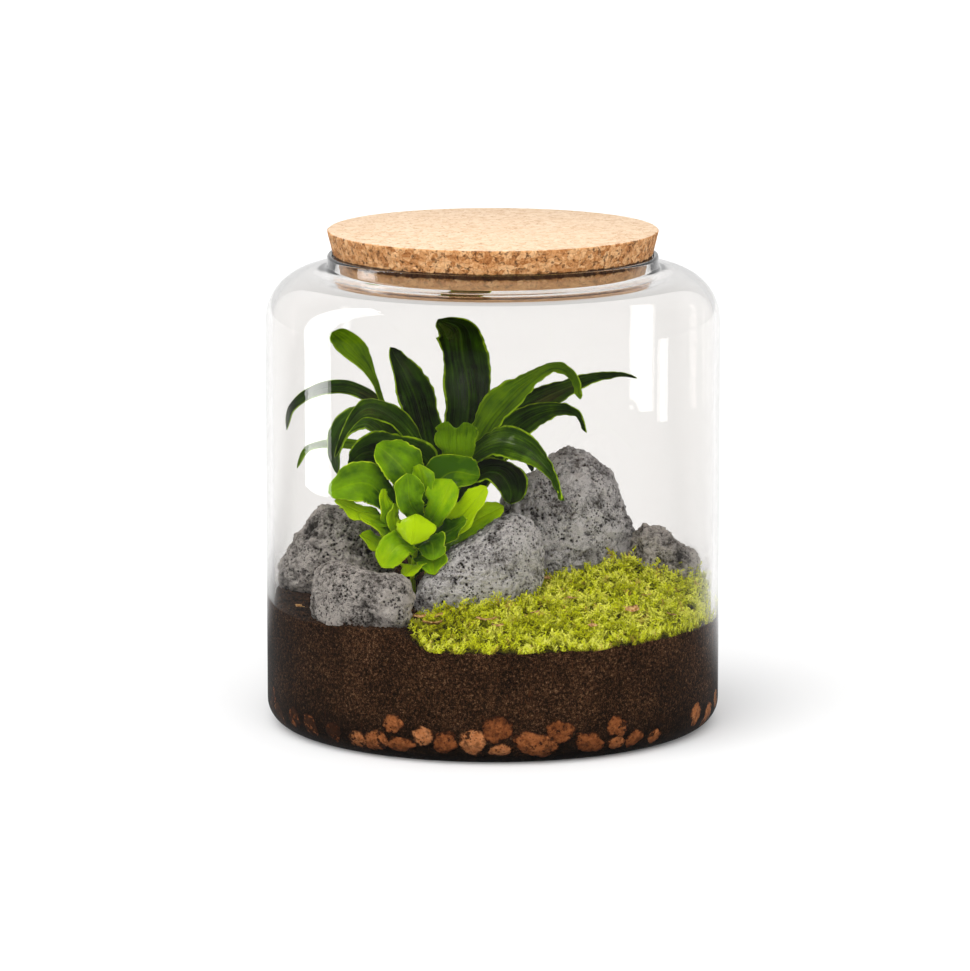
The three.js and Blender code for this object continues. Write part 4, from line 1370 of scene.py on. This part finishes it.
def rib_points(points: list[Vector], count: int) -> list[Vector]:
    """Evenly spaced points on a smooth curve through some points.

    Args:
        points: The points that it passes, in millimetres.
        count: How many steps.

    Returns:
        One more point than steps.
    """
    first = points[0] * 2 - points[1]
    last = points[-1] * 2 - points[-2]
    chain = [first, *points, last]
    fine = []
    for a, b, c, d in zip(chain, chain[1:], chain[2:], chain[3:]):
        knots = [0.0]
        for start, end in ((a, b), (b, c), (c, d)):
            knots.append(knots[-1] + max((end - start).length, 1e-4) ** 0.5)
        for step in range(24):
            t = mix(knots[1], knots[2], step / 24)
            low = [p.lerp(q, (t - k) / (m - k)) for p, q, k, m in (
                (a, b, knots[0], knots[1]), (b, c, knots[1], knots[2]), (c, d, knots[2], knots[3]))]
            pair = [
                low[0].lerp(low[1], (t - knots[0]) / (knots[2] - knots[0])),
                low[1].lerp(low[2], (t - knots[1]) / (knots[3] - knots[1])),
            ]
            fine.append(pair[0].lerp(pair[1], (t - knots[1]) / (knots[2] - knots[1])))
    fine.append(points[-1])
    lengths = [0.0]
    for start, end in zip(fine, fine[1:]):
        lengths.append(lengths[-1] + (end - start).length)
    spaced, at = [], 0
    for step in range(count + 1):
        want = lengths[-1] * step / count
        while at < len(fine) - 2 and lengths[at + 1] < want:
            at += 1
        gap = max(lengths[at + 1] - lengths[at], 1e-9)
        spaced.append(fine[at].lerp(fine[at + 1], min((want - lengths[at]) / gap, 1.0)))
    return spaced


@dataclass(frozen=True)
class Leaf:
    """One leaf blade, in millimetres.

    Each glossy patch of its coat is its centre and half length as shares of the blade's length,
    its centre and half width as shares of the half width, and its strength.
    """

    rib: tuple[Point, ...]
    width: float
    face: Point
    form: LeafForm = LeafForm.STRAP
    fold: float = 0.2
    wave: float = 0.8
    waves: float = 2.5
    tone: float = 0.35
    teeth: float = 0.25
    curl: float = 0.0
    thickness: float = 0.5
    coat: tuple[tuple[float, float, float, float, float], ...] = ()
    notch: float = 0.0

    def width_at(self, t: float) -> float:
        """Share of the full width at a share of the length, with a rounded tip."""
        points = self.form.value
        index = next((i for i in range(1, len(points)) if t <= points[i][0]), len(points) - 1)
        near = [points[min(max(i, 0), len(points) - 1)] for i in range(index - 2, index + 2)]
        (t0, start), (t1, end) = near[1:3]
        share = min(max((t - t0) / (t1 - t0), 0.0), 1.0)
        before = (end - near[0][1]) / max(t1 - near[0][0], 1e-6) * (t1 - t0)
        after = (near[3][1] - start) / max(near[3][0] - t0, 1e-6) * (t1 - t0)
        cube, square = share**3, share**2
        width = (2 * cube - 3 * square + 1) * start + (cube - 2 * square + share) * before
        width += (3 * square - 2 * cube) * end + (cube - square) * after
        if self.notch:
            return width
        zone = min(max(0.45 * self.width * points[-1][1] / self.length(), 0.03), 0.35)
        tip = max((t - 1 + zone) / zone, 0.0)
        return max(width, 0.03) * math.sqrt(max(1 - tip * tip, 0.002))

    def length(self) -> float:
        """Length of the rib, in millimetres."""
        return sum(math.dist(start, end) for start, end in zip(self.rib, self.rib[1:]))

    def coat_at(self, t: float, share: float) -> float:
        """How strong the coat is at a share of the length and of the half width."""
        glow = 0.0
        for centre, half, side, wide, strength in self.coat:
            far = math.hypot((t - centre) / half, (share - side) / wide)
            glow = max(glow, strength * (1 - smooth(0.35, 1.0, far)))
        return glow

    def add_to(self, whole: bmesh.types.BMesh, steps: int, across: int) -> None:
        """Add the blade to a bmesh.

        Args:
            whole: The bmesh, which has a UV layer, a "tone" layer and a "coat" layer.
            steps: Steps along the blade.
            across: Steps across it.
        """
        spine = rib_points([Vector(point) for point in self.rib], steps)
        normal = Vector(self.face)
        frames = []
        for index in range(steps + 1):
            along = (spine[min(index + 1, steps)] - spine[max(index - 1, 0)]).normalized()
            normal = (normal - along * normal.dot(along)).normalized()
            frames.append((spine[index], normal.copy(), along.cross(normal)))
        blade = bmesh.new()
        blade.loops.layers.uv.new("UVMap")
        bmesh.ops.create_grid(
            blade, x_segments=across, y_segments=steps, size=0.5, calc_uvs=True,
        )
        seed = Vector((self.rib[0][0], self.rib[-1][1], self.rib[-1][2]))
        shine = blade.verts.layers.float.new("coat")
        tone = blade.verts.layers.float.new("tone")
        for vertex in blade.verts:
            share = vertex.co.x * 2
            t = min(max(vertex.co.y + 0.5, 0.0), 1.0)
            vertex.co = self.place(frames, share, t, steps, seed) * MM
            vertex[shine] = self.coat_at(t, share)
            vertex[tone] = self.tone
        bmesh.ops.recalc_face_normals(blade, faces=blade.faces)
        mid = frames[steps // 2]
        blade.normal_update()
        if sum(face.normal.dot(mid[1]) for face in blade.faces) < 0:
            bmesh.ops.reverse_faces(blade, faces=blade.faces)
        bmesh.ops.solidify(blade, geom=blade.faces, thickness=self.thickness * MM)
        bmesh.ops.recalc_face_normals(blade, faces=blade.faces)
        holder = bpy.data.meshes.new("blade")
        blade.to_mesh(holder)
        blade.free()
        whole.from_mesh(holder)
        bpy.data.meshes.remove(holder)

    def place(self, frames: list[tuple[Vector, Vector, Vector]], share: float, t: float,
              steps: int, seed: Vector) -> Vector:
        """Where one point of the blade lies, in millimetres.

        Args:
            frames: Centre, normal and side at each step of the rib.
            share: Place across the blade, -1 to 1.
            t: Place along it, 0 to 1.
            steps: Steps along the rib.
            seed: Offset of its own irregularities.

        Returns:
            The point.
        """
        at = t * steps
        low = min(int(at), steps - 1)
        part = at - low
        centre = frames[low][0].lerp(frames[low + 1][0], part)
        normal = frames[low][1].lerp(frames[low + 1][1], part).normalized()
        side = frames[low][2].lerp(frames[low + 1][2], part).normalized()
        grown = self.width_at(t)
        uneven = noise.noise(Vector((t * 5, 1.0 if share > 0 else 6.0, 3)) + seed)
        reach = self.width / 2 * grown * (1 + 0.28 * uneven * abs(share))
        nick = noise.noise(Vector((t * 26, 4.0 if share > 0 else 9.0, 0)) + seed)
        reach += self.teeth * nick * abs(share) ** 6 * smooth(0.05, 0.3, t)
        phase = 1.3 if share > 0 else 0.0
        ruffle = self.wave * math.sin(2 * math.pi * self.waves * t + phase)
        fine = 0.35 * self.wave * noise.noise(Vector((t * 9, share, 2)) + seed)
        pleat = 0.10 * math.sin(share * 17) * min(grown, 0.7)
        bend = reach * math.sin(self.fold) * abs(share) ** 1.3
        bend -= self.curl * share * share * grown
        lift = bend + (ruffle + fine) * grown * abs(share) ** 2.4 + pleat
        if self.notch:
            pull = self.notch * (1 - smooth(0.05, 0.42, abs(share)))
            pull += 0.28 * self.width * abs(share) ** 3
            pull *= smooth(0.5, 1.0, t)
            centre = centre - normal.cross(side) * pull
        return centre + side * (share * reach * math.cos(self.fold)) + normal * lift


def leaf_mesh(name: str, leaves: list[Leaf], finish: bpy.types.Material, steps: int,
              across: int) -> bpy.types.Object:
    """Make one piece of one or more leaves.

    Args:
        name: The piece's name.
        leaves: Its leaves.
        finish: The material.
        steps: Steps along each leaf.
        across: Steps across each leaf.

    Returns:
        The object.
    """
    whole = bmesh.new()
    whole.loops.layers.uv.new("UVMap")
    whole.verts.layers.float.new("tone")
    whole.verts.layers.float.new("coat")
    for leaf in leaves:
        leaf.add_to(whole, steps, across)
    return mesh_object(name, whole, finish)


@dataclass
class DarkPlant:
    """The strap-leaved plant: a short stem and its leaves, in millimetres."""

    stem_at: tuple[float, float] = (-20.0, 5.0)
    stem_radius: float = 4.2
    seat_radius: float = 5.35
    root_depth: float = 46.0
    stem_top: float = 114.0

    def leaves(self) -> dict[str, tuple[tuple[float, float], Leaf]]:
        """Each leaf's seat, as degrees round the stem and height, and its blade."""
        form = LeafForm
        return {
            "tall": ((66, 108), Leaf(
                ((-13, 17, 130), (-11, 16, 150), (-14, 12, 170), (-16, 6, 184), (-25, -2, 190)),
                22.5, (0, -1, 0.2), form.TALL, 0.18, 1.3, tone=0.3, teeth=0.7,
                coat=((0.48, 0.21, 0.15, 1.2, 0.95), (0.90, 0.2, -0.5, 0.85, 1.0)),
            )),
            "second": ((122, 104), Leaf(
                ((-29, 12, 122), (-33, 8, 140), (-37, 1, 155), (-43, -5, 168), (-47, -9, 176)),
                19, (0.4, -1, 0.3), tone=0.25, teeth=0.7, wave=1.1,
                coat=((0.46, 0.24, 0.15, 0.8, 0.72), (0.84, 0.16, 0.1, 0.6, 0.4),
                      (0.66, 0.08, -0.8, 0.3, 0.95)),
            )),
            "spoon": ((165, 96), Leaf(
                ((-38, 10, 126), (-50, 12, 144), (-55, 15, 157), (-62, 18, 168), (-75, 21, 179)),
                11.5, (0.4, -1, 0.3), form.SPOON, 0.15, 0.5, tone=0.75,
            )),
            "far_left": ((150, 88), Leaf(
                ((-38, 18, 118), (-52, 21, 143), (-68, 19, 153), (-84, 12, 152), (-94, 6, 145),
                 (-96, 2, 136)),
                8, (0.3, -0.4, 1), tone=0.35, coat=((0.5, 0.2, 0, 0.9, 0.7),),
            )),
            "low_left": ((130, 80), Leaf(
                ((-42, 20, 112), (-58, 22, 124), (-76, 21, 126), (-87, 18, 124), (-92, 14, 116)),
                7, (0.3, -0.4, 1), wave=0.4, tone=0.8,
            )),
            "arching": ((215, 108), Leaf(
                ((-33, -3, 126), (-42, -6, 139), (-51, -12, 147), (-59, -20, 149),
                 (-67, -28, 141), (-72, -33, 129)),
                12, (0.4, -0.6, 0.8), form.TAILED, tone=0.4, wave=1.1, teeth=0.4,
                coat=((0.62, 0.22, -0.2, 0.8, 0.85), (0.86, 0.1, 0.2, 0.7, 0.4)),
            )),
            "left": ((198, 90), Leaf(
                ((-35, -2, 112), (-48, -1, 134), (-58, 3, 141), (-68, 2, 137), (-73, -2, 126),
                 (-72, -4, 116)),
                18, (0.4, -0.7, 0.7), tone=0.45, wave=1.4, teeth=0.9,
                coat=((0.95, 0.08, 0, 0.8, 0.5),),
            )),
            "front_left": ((228, 99), Leaf(
                ((-29, -5, 111), (-37, -11, 122), (-48, -15, 128), (-59, -21, 129),
                 (-66, -27, 124)),
                22, (0.2, -1, 0.9), tone=0.35, wave=2.0, teeth=0.9,
                coat=((0.7, 0.2, 0.5, 0.4, 0.35),),
            )),
            "small_front": ((270, 112), Leaf(
                ((-18, -7, 120), (-17, -11, 128), (-17, -14, 136), (-17, -19, 143)),
                19.5, (0, 1, 0.2), form.HEART, 0.2, 0.8, tone=0.95, teeth=0.4,
                coat=((0.96, 0.07, 0.0, 0.16, 0.95),), notch=4.0,
            )),
            "right_tall": ((35, 108), Leaf(
                ((-10, 8, 124), (-2, 6, 139), (8, 4, 151), (18, 1, 160), (29, -2, 166),
                 (37, -6, 162), (40, -9, 152)),
                15, (-0.5, -1, 0.5), form.ARCHED, tone=0.75, wave=1.5, teeth=1.1,
            )),
            "far_right": ((50, 96), Leaf(
                ((-9, 16, 116), (4, 20, 133), (18, 22, 144), (32, 23, 151), (48, 22, 157),
                 (60, 19, 159), (67, 16, 158)),
                14, (-0.3, -1, 0.7), form.TAILED, tone=0.4, wave=1.5, teeth=1.3,
                coat=((0.5, 0.3, 0.1, 0.9, 0.75),),
            )),
            "right": ((8, 92), Leaf(
                ((-7, 7, 112), (5, 11, 129), (17, 13, 139), (30, 10, 144), (39, 4, 143),
                 (43, -1, 135)),
                15, (-0.3, -1, 0.6), form.TAILED, tone=0.45, wave=1.5, teeth=0.9,
                coat=((0.45, 0.12, 0.5, 0.4, 0.35),),
            )),
            "front_right": ((335, 110), Leaf(
                ((-9, -1, 124), (0, -9, 131), (9, -18, 133), (19, -27, 129), (27, -35, 121),
                 (31, -40, 110)),
                14.5, (-0.3, -0.5, 1), form.TAILED, tone=0.5, wave=1.5, teeth=0.8,
                coat=((0.42, 0.2, -0.3, 0.6, 0.5), (0.7, 0.16, 0.2, 0.6, 0.85)),
            )),
            "low_right": ((285, 92), Leaf(
                ((-14, -7, 106), (-5, -10, 117), (3, -14, 118), (8, -18, 111), (8, -20, 105)),
                25, (-0.3, -0.3, 1), form.OVAL, tone=0.2, wave=2.0, teeth=0.9,
            )),
            "back_left": ((118, 84), Leaf(
                ((-29, 26, 106), (-38, 41, 119), (-47, 56, 117), (-53, 68, 105)),
                15, (0.2, -0.6, 1),
            )),
            "back": ((90, 92), Leaf(
                ((-19, 24, 112), (-16, 40, 119), (-12, 55, 113), (-10, 67, 99)), 16, (0, -0.6, 1),
            )),
            "back_right": ((58, 84), Leaf(
                ((-7, 21, 108), (4, 34, 120), (14, 48, 118), (19, 62, 106)), 15, (-0.2, -0.6, 1),
            )),
            "back_low": ((110, 76), Leaf(
                ((-30, 24, 96), (-38, 42, 104), (-44, 58, 98), (-47, 68, 86)), 13, (0.2, -0.6, 1),
            )),
        }

    def build(self) -> None:
        """Make the stem and every leaf."""
        skin = LeafSkin(
            "dark_leaf_skin", srgb(14, 25, 1), srgb(46, 76, 2), srgb(112, 154, 4),
            srgb(160, 198, 30), 0.36, 11.0, 0.0009, combed=0.85,
        ).material()
        for name, (seat, leaf) in self.leaves().items():
            turn = math.radians(seat[0])
            start = (
                self.stem_at[0] + self.seat_radius * math.cos(turn),
                self.stem_at[1] + self.seat_radius * math.sin(turn),
                float(seat[1]),
            )
            seated = replace(leaf, rib=(start, *leaf.rib))
            piece = leaf_mesh("dark_leaf_" + name + "_blade", [seated], skin, 72, 16)
            settle(piece, "dark_leaf", "dark_leaf_" + name)
        profile = [
            (0, self.root_depth), (3.2, self.root_depth),
            (self.stem_radius, self.root_depth + 3), (self.stem_radius, 84), (3.85, 97),
            (self.stem_radius, self.stem_top - 2), (2.8, self.stem_top), (0, self.stem_top),
        ]
        stem = spun(profile, 32)
        foot = Vector((*self.stem_at, 0.0)) * MM
        bmesh.ops.translate(stem, vec=foot, verts=stem.verts)
        bark = PlainSkin("green_stem", srgb(62, 74, 24), srgb(96, 110, 44)).material()
        settle(mesh_object("dark_plant_crown", stem, bark), "stem", "dark_plant_stem")


OVAL, CUPPED = LeafForm.OVAL, LeafForm.CUPPED

# Each leaf's rib, width, facing, outline, fold and share of gloss, in millimetres.
LEFT_SHOOT = (
    (((-44, -22, 100), (-58, -28, 116), (-75, -34, 113)), 17, (0.2, -1, 0.8), OVAL, 0.35, 0.35),
    (((-43, -20, 95), (-60, -27, 102), (-72, -33, 109)), 9, (0.3, -0.8, 0.8), OVAL, 0.35, 0.2),
    (((-42, -18, 90), (-58, -12, 97), (-71, -6, 101)), 11, (0.3, -0.2, 1), OVAL, 0.35, 0),
    (((-40, -15, 84), (-51, -25, 94), (-61, -31, 102)), 11, (0.3, -0.8, 1), OVAL, 0.35, 0.2),
    (((-43, -20, 94), (-49, -29, 104), (-50, -31, 114)), 8, (0.6, -1, 0.2), OVAL, 0.35, 0.9),
    (((-41, -17, 88), (-46, -27, 98), (-45, -30, 107)), 7, (0.5, -1, 0.2), OVAL, 0.35, 0.5),
    (((-39, -12, 79), (-52, -20, 86), (-61, -22, 91)), 11, (0.3, -0.8, 1), OVAL, 0.35, 0),
)

MIDDLE_SHOOT = (
    (((-34, -20, 107), (-41, -25, 122), (-53, -27, 134)), 19, (0.5, -1, 0.4), OVAL, 0.35, 0.9),
    (
        ((-34, -19, 104), (-32, -27, 116), (-34, -29, 125)),
        10, (-0.2, -1, 0.2), CUPPED, 0.35, 0.6,
    ),
    (((-32, -18, 97), (-38, -30, 108), (-39, -31, 121)), 13, (0, -1, 0.2), CUPPED, 0.35, 0.5),
    (((-31, -17, 93), (-25, -30, 105), (-19, -29, 118)), 15, (-0.3, -1, 0.3), CUPPED, 0.35, 0.1),
    (((-30, -14, 84), (-14, -26, 101), (-3, -25, 114)), 14, (-0.5, -1, 0.5), OVAL, 0.35, 0.1),
    (((-30, -12, 78), (-10, -16, 95), (5, -15, 103)), 14, (-0.5, -1, 0.6), OVAL, 0.35, 0),
    (((-34, -19, 104), (-20, -18, 119), (-6, -20, 118)), 17, (-0.2, -1, 0.8), OVAL, 0.35, 0.2),
    (((-33, -18, 100), (-46, -9, 110), (-55, 1, 110)), 14, (0.3, 0.2, 1), OVAL, 0.35, 0),
    (((-31, -14, 84), (-39, -1, 89), (-47, 8, 88)), 12, (0, -0.3, 1), OVAL, 0.35, 0),
    (((-31, -15, 88), (-20, -28, 94), (-12, -33, 100)), 11, (-0.3, -1, 0.6), OVAL, 0.35, 0),
    (((-30, -11, 72), (-29, -9, 85), (-28, -9, 99)), 16, (0, -1, 0.1), CUPPED, 0.35, 0),
)

FRONT_SHOOT = (
    (
        ((-35, -30, 89), (-35, -35, 101), (-35, -42, 104), (-36, -47, 98), (-37, -48, 91)),
        17, (0, 1, 0.3), CUPPED, -0.4, 0.8,
    ),
    (((-36, -28, 86), (-43, -38, 89), (-51, -43, 80)), 14, (0.2, -0.8, 1), OVAL, 0.35, 0.9),
    (((-37, -23, 75), (-36, -34, 79), (-40, -41, 75)), 12, (0, -0.5, 1), OVAL, 0.35, 0),
    (((-35, -29, 88), (-28, -38, 90), (-27, -43, 83)), 13, (-0.4, -0.4, 1), OVAL, 0.35, 0.3),
    (((-36, -26, 81), (-28, -35, 82), (-27, -42, 76)), 12, (-0.3, -0.6, 1), OVAL, 0.35, 0),
    (((-37, -20, 70), (-33, -23, 80), (-31, -26, 89)), 10, (-0.1, -1, 0.2), CUPPED, 0.35, 0),
)


@dataclass
class BrightShoot:
    """One leafy shoot of the small bright plant, in millimetres."""

    name: str
    stem: tuple[Point, ...]
    leaves: tuple[tuple[tuple[Point, ...], float, Point, LeafForm, float, float], ...]
    stem_radius: float = 1.25
    fullness: float = 1.16

    def build(self, skin: bpy.types.Material) -> None:
        """Make the shoot's stalk and leaves as one piece."""
        whole = bmesh.new()
        whole.loops.layers.uv.new("UVMap")
        tone = whole.verts.layers.float.new("tone")
        whole.verts.layers.float.new("coat")
        source = random.Random(self.name)
        spine = rib_points([Vector(point) for point in self.stem], 24)
        ring = bmesh.ops.create_circle(whole, segments=12, radius=self.stem_radius * MM)["verts"]
        bmesh.ops.translate(whole, vec=spine[0] * MM, verts=ring)
        edges = list({edge for vertex in ring for edge in vertex.link_edges})
        for start, end in zip(spine, spine[1:]):
            made = bmesh.ops.extrude_edge_only(whole, edges=edges)["geom"]
            ring = [item for item in made if isinstance(item, bmesh.types.BMVert)]
            edges = [item for item in made if isinstance(item, bmesh.types.BMEdge)]
            bmesh.ops.translate(whole, vec=(end - start) * MM, verts=ring)
        bmesh.ops.holes_fill(whole, edges=[edge for edge in whole.edges if edge.is_boundary])
        bmesh.ops.recalc_face_normals(whole, faces=whole.faces)
        for vertex in whole.verts:
            vertex[tone] = 0.5
        for rib, width, face, form, fold, gloss in self.leaves:
            patch = (source.uniform(0.5, 0.75), 0.22, source.uniform(-0.5, 0.5), 0.55, gloss)
            bright = min(gloss + 0.25, 1.0)
            glint = (source.uniform(0.3, 0.6), 0.09, source.uniform(-0.7, 0.7), 0.22, bright)
            leaf = Leaf(
                rib, width * self.fullness, face, form, fold, wave=1.5,
                waves=source.uniform(1.6, 2.6), tone=source.uniform(0.0, 1.0), teeth=0.9,
                curl=source.uniform(0.5, 2.2), thickness=0.45, coat=(patch, glint),
            )
            leaf.add_to(whole, 36, 16)
        piece = mesh_object(self.name + "_leafy", whole, skin)
        settle(piece, "bright_leaf", self.name)


def bright_plant() -> list[BrightShoot]:
    """The three shoots of the small bright plant."""
    return [
        BrightShoot(
            "bright_shoot_left",
            ((-37, -5, 46), (-37, -5, 62), (-38, -11, 76), (-42, -18, 90), (-45, -23, 102)),
            LEFT_SHOOT,
        ),
        BrightShoot(
            "bright_shoot_middle",
            ((-31, -8, 46), (-31, -8, 64), (-30, -12, 76), (-31, -17, 92), (-34, -20, 108)),
            MIDDLE_SHOOT,
        ),
        BrightShoot(
            "bright_shoot_front",
            ((-37, -17, 46), (-37, -17, 62), (-37, -20, 71), (-36, -26, 81), (-35, -30, 90)),
            FRONT_SHOOT,
        ),
    ]


@dataclass
class Studio:
    """Camera, pale floor and soft lights, in metres.

    Mirrored rays see a dark floor and dark surroundings, apart from those behind the jar. It
    keeps a white haze off the soil and leaves the glass's edges pale.
    """

    camera_at: Point = (-0.00363, -2.6, 0.569)
    aim: Point = (-0.00363, 0.0, 0.10985)
    lens: float = 211.05
    floor_size: float = 12.0
    behind: tuple[float, float] = (0.15, 0.85)
    clear_floor: tuple[float, float] = (0.08, 0.36)
    right_lean: float = 0.35
    floor_image: float = 0.92
    sky: float = 0.85
    mirrored_sky: tuple[float, float] = (0.02, 0.86)

    def build(self) -> None:
        """Set up everything that isn't the object."""
        self.add_camera()
        self.add_floor()
        self.add_world()
        self.add_sky_panel("overhead", (-0.35, -0.45, 1.0), 1.95, 50.0)
        self.add_sky_panel("front_fill", (0.35, -1.0, 0.55), 1.1, 40.0)
        self.add_light("left_softbox", (-0.62, 0.037, 0.52), (0.1, 0.037, 0.52), (0.19, 1.0), 4.0)
        self.add_light("right_softbox", (0.75, 0.0, 0.10), (0, 0.0, 0.12), (0.07, 0.12), 0.12)
        scene = bpy.context.scene
        scene.view_settings.view_transform = "Standard"
        scene.view_settings.look = "None"
        scene.view_settings.exposure = 0.0

    def add_camera(self) -> None:
        """Point the camera as the photograph's was."""
        data = bpy.data.cameras.new("camera")
        data.lens = self.lens
        data.sensor_width = 36.0
        camera = bpy.data.objects.new("camera", data)
        camera.location = self.camera_at
        look = Vector(self.aim) - Vector(self.camera_at)
        camera.rotation_euler = look.to_track_quat("-Z", "Y").to_euler()
        bpy.context.scene.collection.objects.link(camera)
        bpy.context.scene.camera = camera

    def add_floor(self) -> None:
        """Lay the plain pale floor, whose mirror image is bright only from behind the jar."""
        shape = bmesh.new()
        bmesh.ops.create_grid(shape, x_segments=2, y_segments=2, size=self.floor_size / 2)
        finish = Finish("pale_floor")
        finish.paint(Base_Color=(0.77, 0.77, 0.77, 1.0), Roughness=0.9, Specular_IOR_Level=0.0)
        grey = finish.node("BsdfDiffuse", Color=(0.09, 0.09, 0.09, 1.0))
        path = finish.node("LightPath")
        turns = finish.signal(path.outputs["Glossy Depth"]).least(1.0)
        place = finish.place()
        heading = finish.node("VectorMath", {"operation": "NORMALIZE"}, Vector=place)
        depth = finish.axis(place, "Y") + finish.axis(place, "X") * self.right_lean
        behind = finish.step(finish.axis(heading.outputs["Vector"], "Y"), *self.behind)
        behind = behind * finish.step(depth, *self.clear_floor)
        mirrored = finish.signal(path.outputs["Is Singular Ray"]) * turns
        mirrored = mirrored * (1 - behind * self.floor_image)
        finish.swap_shader(mirrored, grey)
        floor = mesh_object("floor", shape, finish.material, False)
        floor.location.z = -0.0002

    def add_world(self) -> None:
        """Soft white surroundings whose mirror image in the glass is bright only from behind."""
        world = bpy.data.worlds.new("studio")
        world.use_nodes = True
        bpy.context.scene.world = world
        nodes, links = world.node_tree.nodes, world.node_tree.links
        background = nodes["Background"]
        background.inputs["Color"].default_value = (1.0, 1.0, 1.0, 1.0)
        path = nodes.new("ShaderNodeLightPath")
        split = nodes.new("ShaderNodeSeparateXYZ")
        direction = nodes.new("ShaderNodeTexCoord")
        links.new(direction.outputs["Generated"], split.inputs["Vector"])
        behind = nodes.new("ShaderNodeMapRange")
        behind.interpolation_type = "SMOOTHSTEP"
        names = ("From Min", "From Max", "To Min", "To Max")
        for name, value in zip(names, (*self.behind, *self.mirrored_sky)):
            behind.inputs[name].default_value = value
        links.new(split.outputs["Y"], behind.inputs["Value"])
        tree = world.node_tree
        turns = Signal(tree, path.outputs["Glossy Depth"]).least(1.0)
        mirrored = Signal(tree, path.outputs["Is Singular Ray"]) * turns
        image = Signal(tree, behind.outputs["Result"])
        strength = (image - self.sky) * mirrored + self.sky
        links.new(strength.socket, background.inputs["Strength"])

    @staticmethod
    def add_sky_panel(name: str, side: Point, strength: float, spread: float) -> None:
        """Hang one wide panel so far off that it lights everything alike.

        Args:
            name: Its name.
            side: The side that it is on.
            strength: Its strength.
            spread: How wide it looks, in degrees.
        """
        data = bpy.data.lights.new(name, "SUN")
        data.energy = strength
        data.angle = math.radians(spread)
        light = bpy.data.objects.new(name, data)
        light.location = side
        light.rotation_euler = Vector(side).to_track_quat("Z", "Y").to_euler()
        light.visible_glossy = False
        light.visible_transmission = False
        bpy.context.scene.collection.objects.link(light)

    @staticmethod
    def add_light(name: str, at: Point, aim: Point, size: tuple[float, float],
                  power: float) -> None:
        """Hang one soft rectangular light that only mirrors in the glass.

        Args:
            name: Its name.
            at: Where it hangs, in metres.
            aim: Where it points.
            size: Its width and height.
            power: Its power in watts.
        """
        data = bpy.data.lights.new(name, "AREA")
        data.shape = "RECTANGLE"
        data.size, data.size_y = size
        data.energy = power
        data.use_nodes = True
        tree = data.node_tree
        turns = Signal(tree, tree.nodes.new("ShaderNodeLightPath").outputs["Glossy Depth"])
        tree.links.new(turns.least(1.0).socket, tree.nodes["Emission"].inputs["Strength"])
        light = bpy.data.objects.new(name, data)
        light.location = at
        light.rotation_euler = (Vector(aim) - Vector(at)).to_track_quat("-Z", "Y").to_euler()
        light.visible_camera = False
        light.visible_diffuse = False
        bpy.context.scene.collection.objects.link(light)


def main() -> None:
    """Build the terrarium from the jar inwards, then the studio round it."""
    logging.basicConfig(level=logging.INFO, format="%(message)s")
    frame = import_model()
    jar = Jar()
    jar.build_glass()
    jar.build_cork()
    grey = LavaStone("lava_grey", srgb(255, 251, 250), srgb(106, 101, 98)).material()
    dark = LavaStone("lava_dark", srgb(232, 224, 216), srgb(74, 69, 64)).material()
    stones = [
        StoneBlock("stone_left_back", 1, dark, 1.0, 0.85),
        StoneBlock("stone_left_front", 2, dark, 1.0, 0.65),
        StoneBlock("stone_middle", 3, grey, 1.3, 0.45),
        StoneBlock("stone_peak", 4, grey, 1.2, 0.8),
        StoneBlock("stone_right", 5, dark, 1.6, 1.0),
    ]
    for stone in stones:
        stone.build(frame)
    filling = Filling()
    filling.build_soil()
    filling.build_pebbles()
    filling.build_crumbs(5600)
    MossCarpet().build(stones)
    build_scraps()
    DarkPlant().build()
    bright = LeafSkin(
        "bright_leaf_skin", srgb(54, 92, 0), srgb(122, 170, 0), srgb(182, 220, 0),
        srgb(206, 236, 46), 0.30, 3.5, 0.0005, specular=0.09, midrib=0.16, margin_from=0.94,
        # Its rise paints the leaf bases darker: painted shade deep in the plant.
        streak=0.55, combed=0.5, rise=0.45,
    ).material()
    for shoot in bright_plant():
        shoot.build(bright)
    Studio().build()


if __name__ == "__main__":
    main()
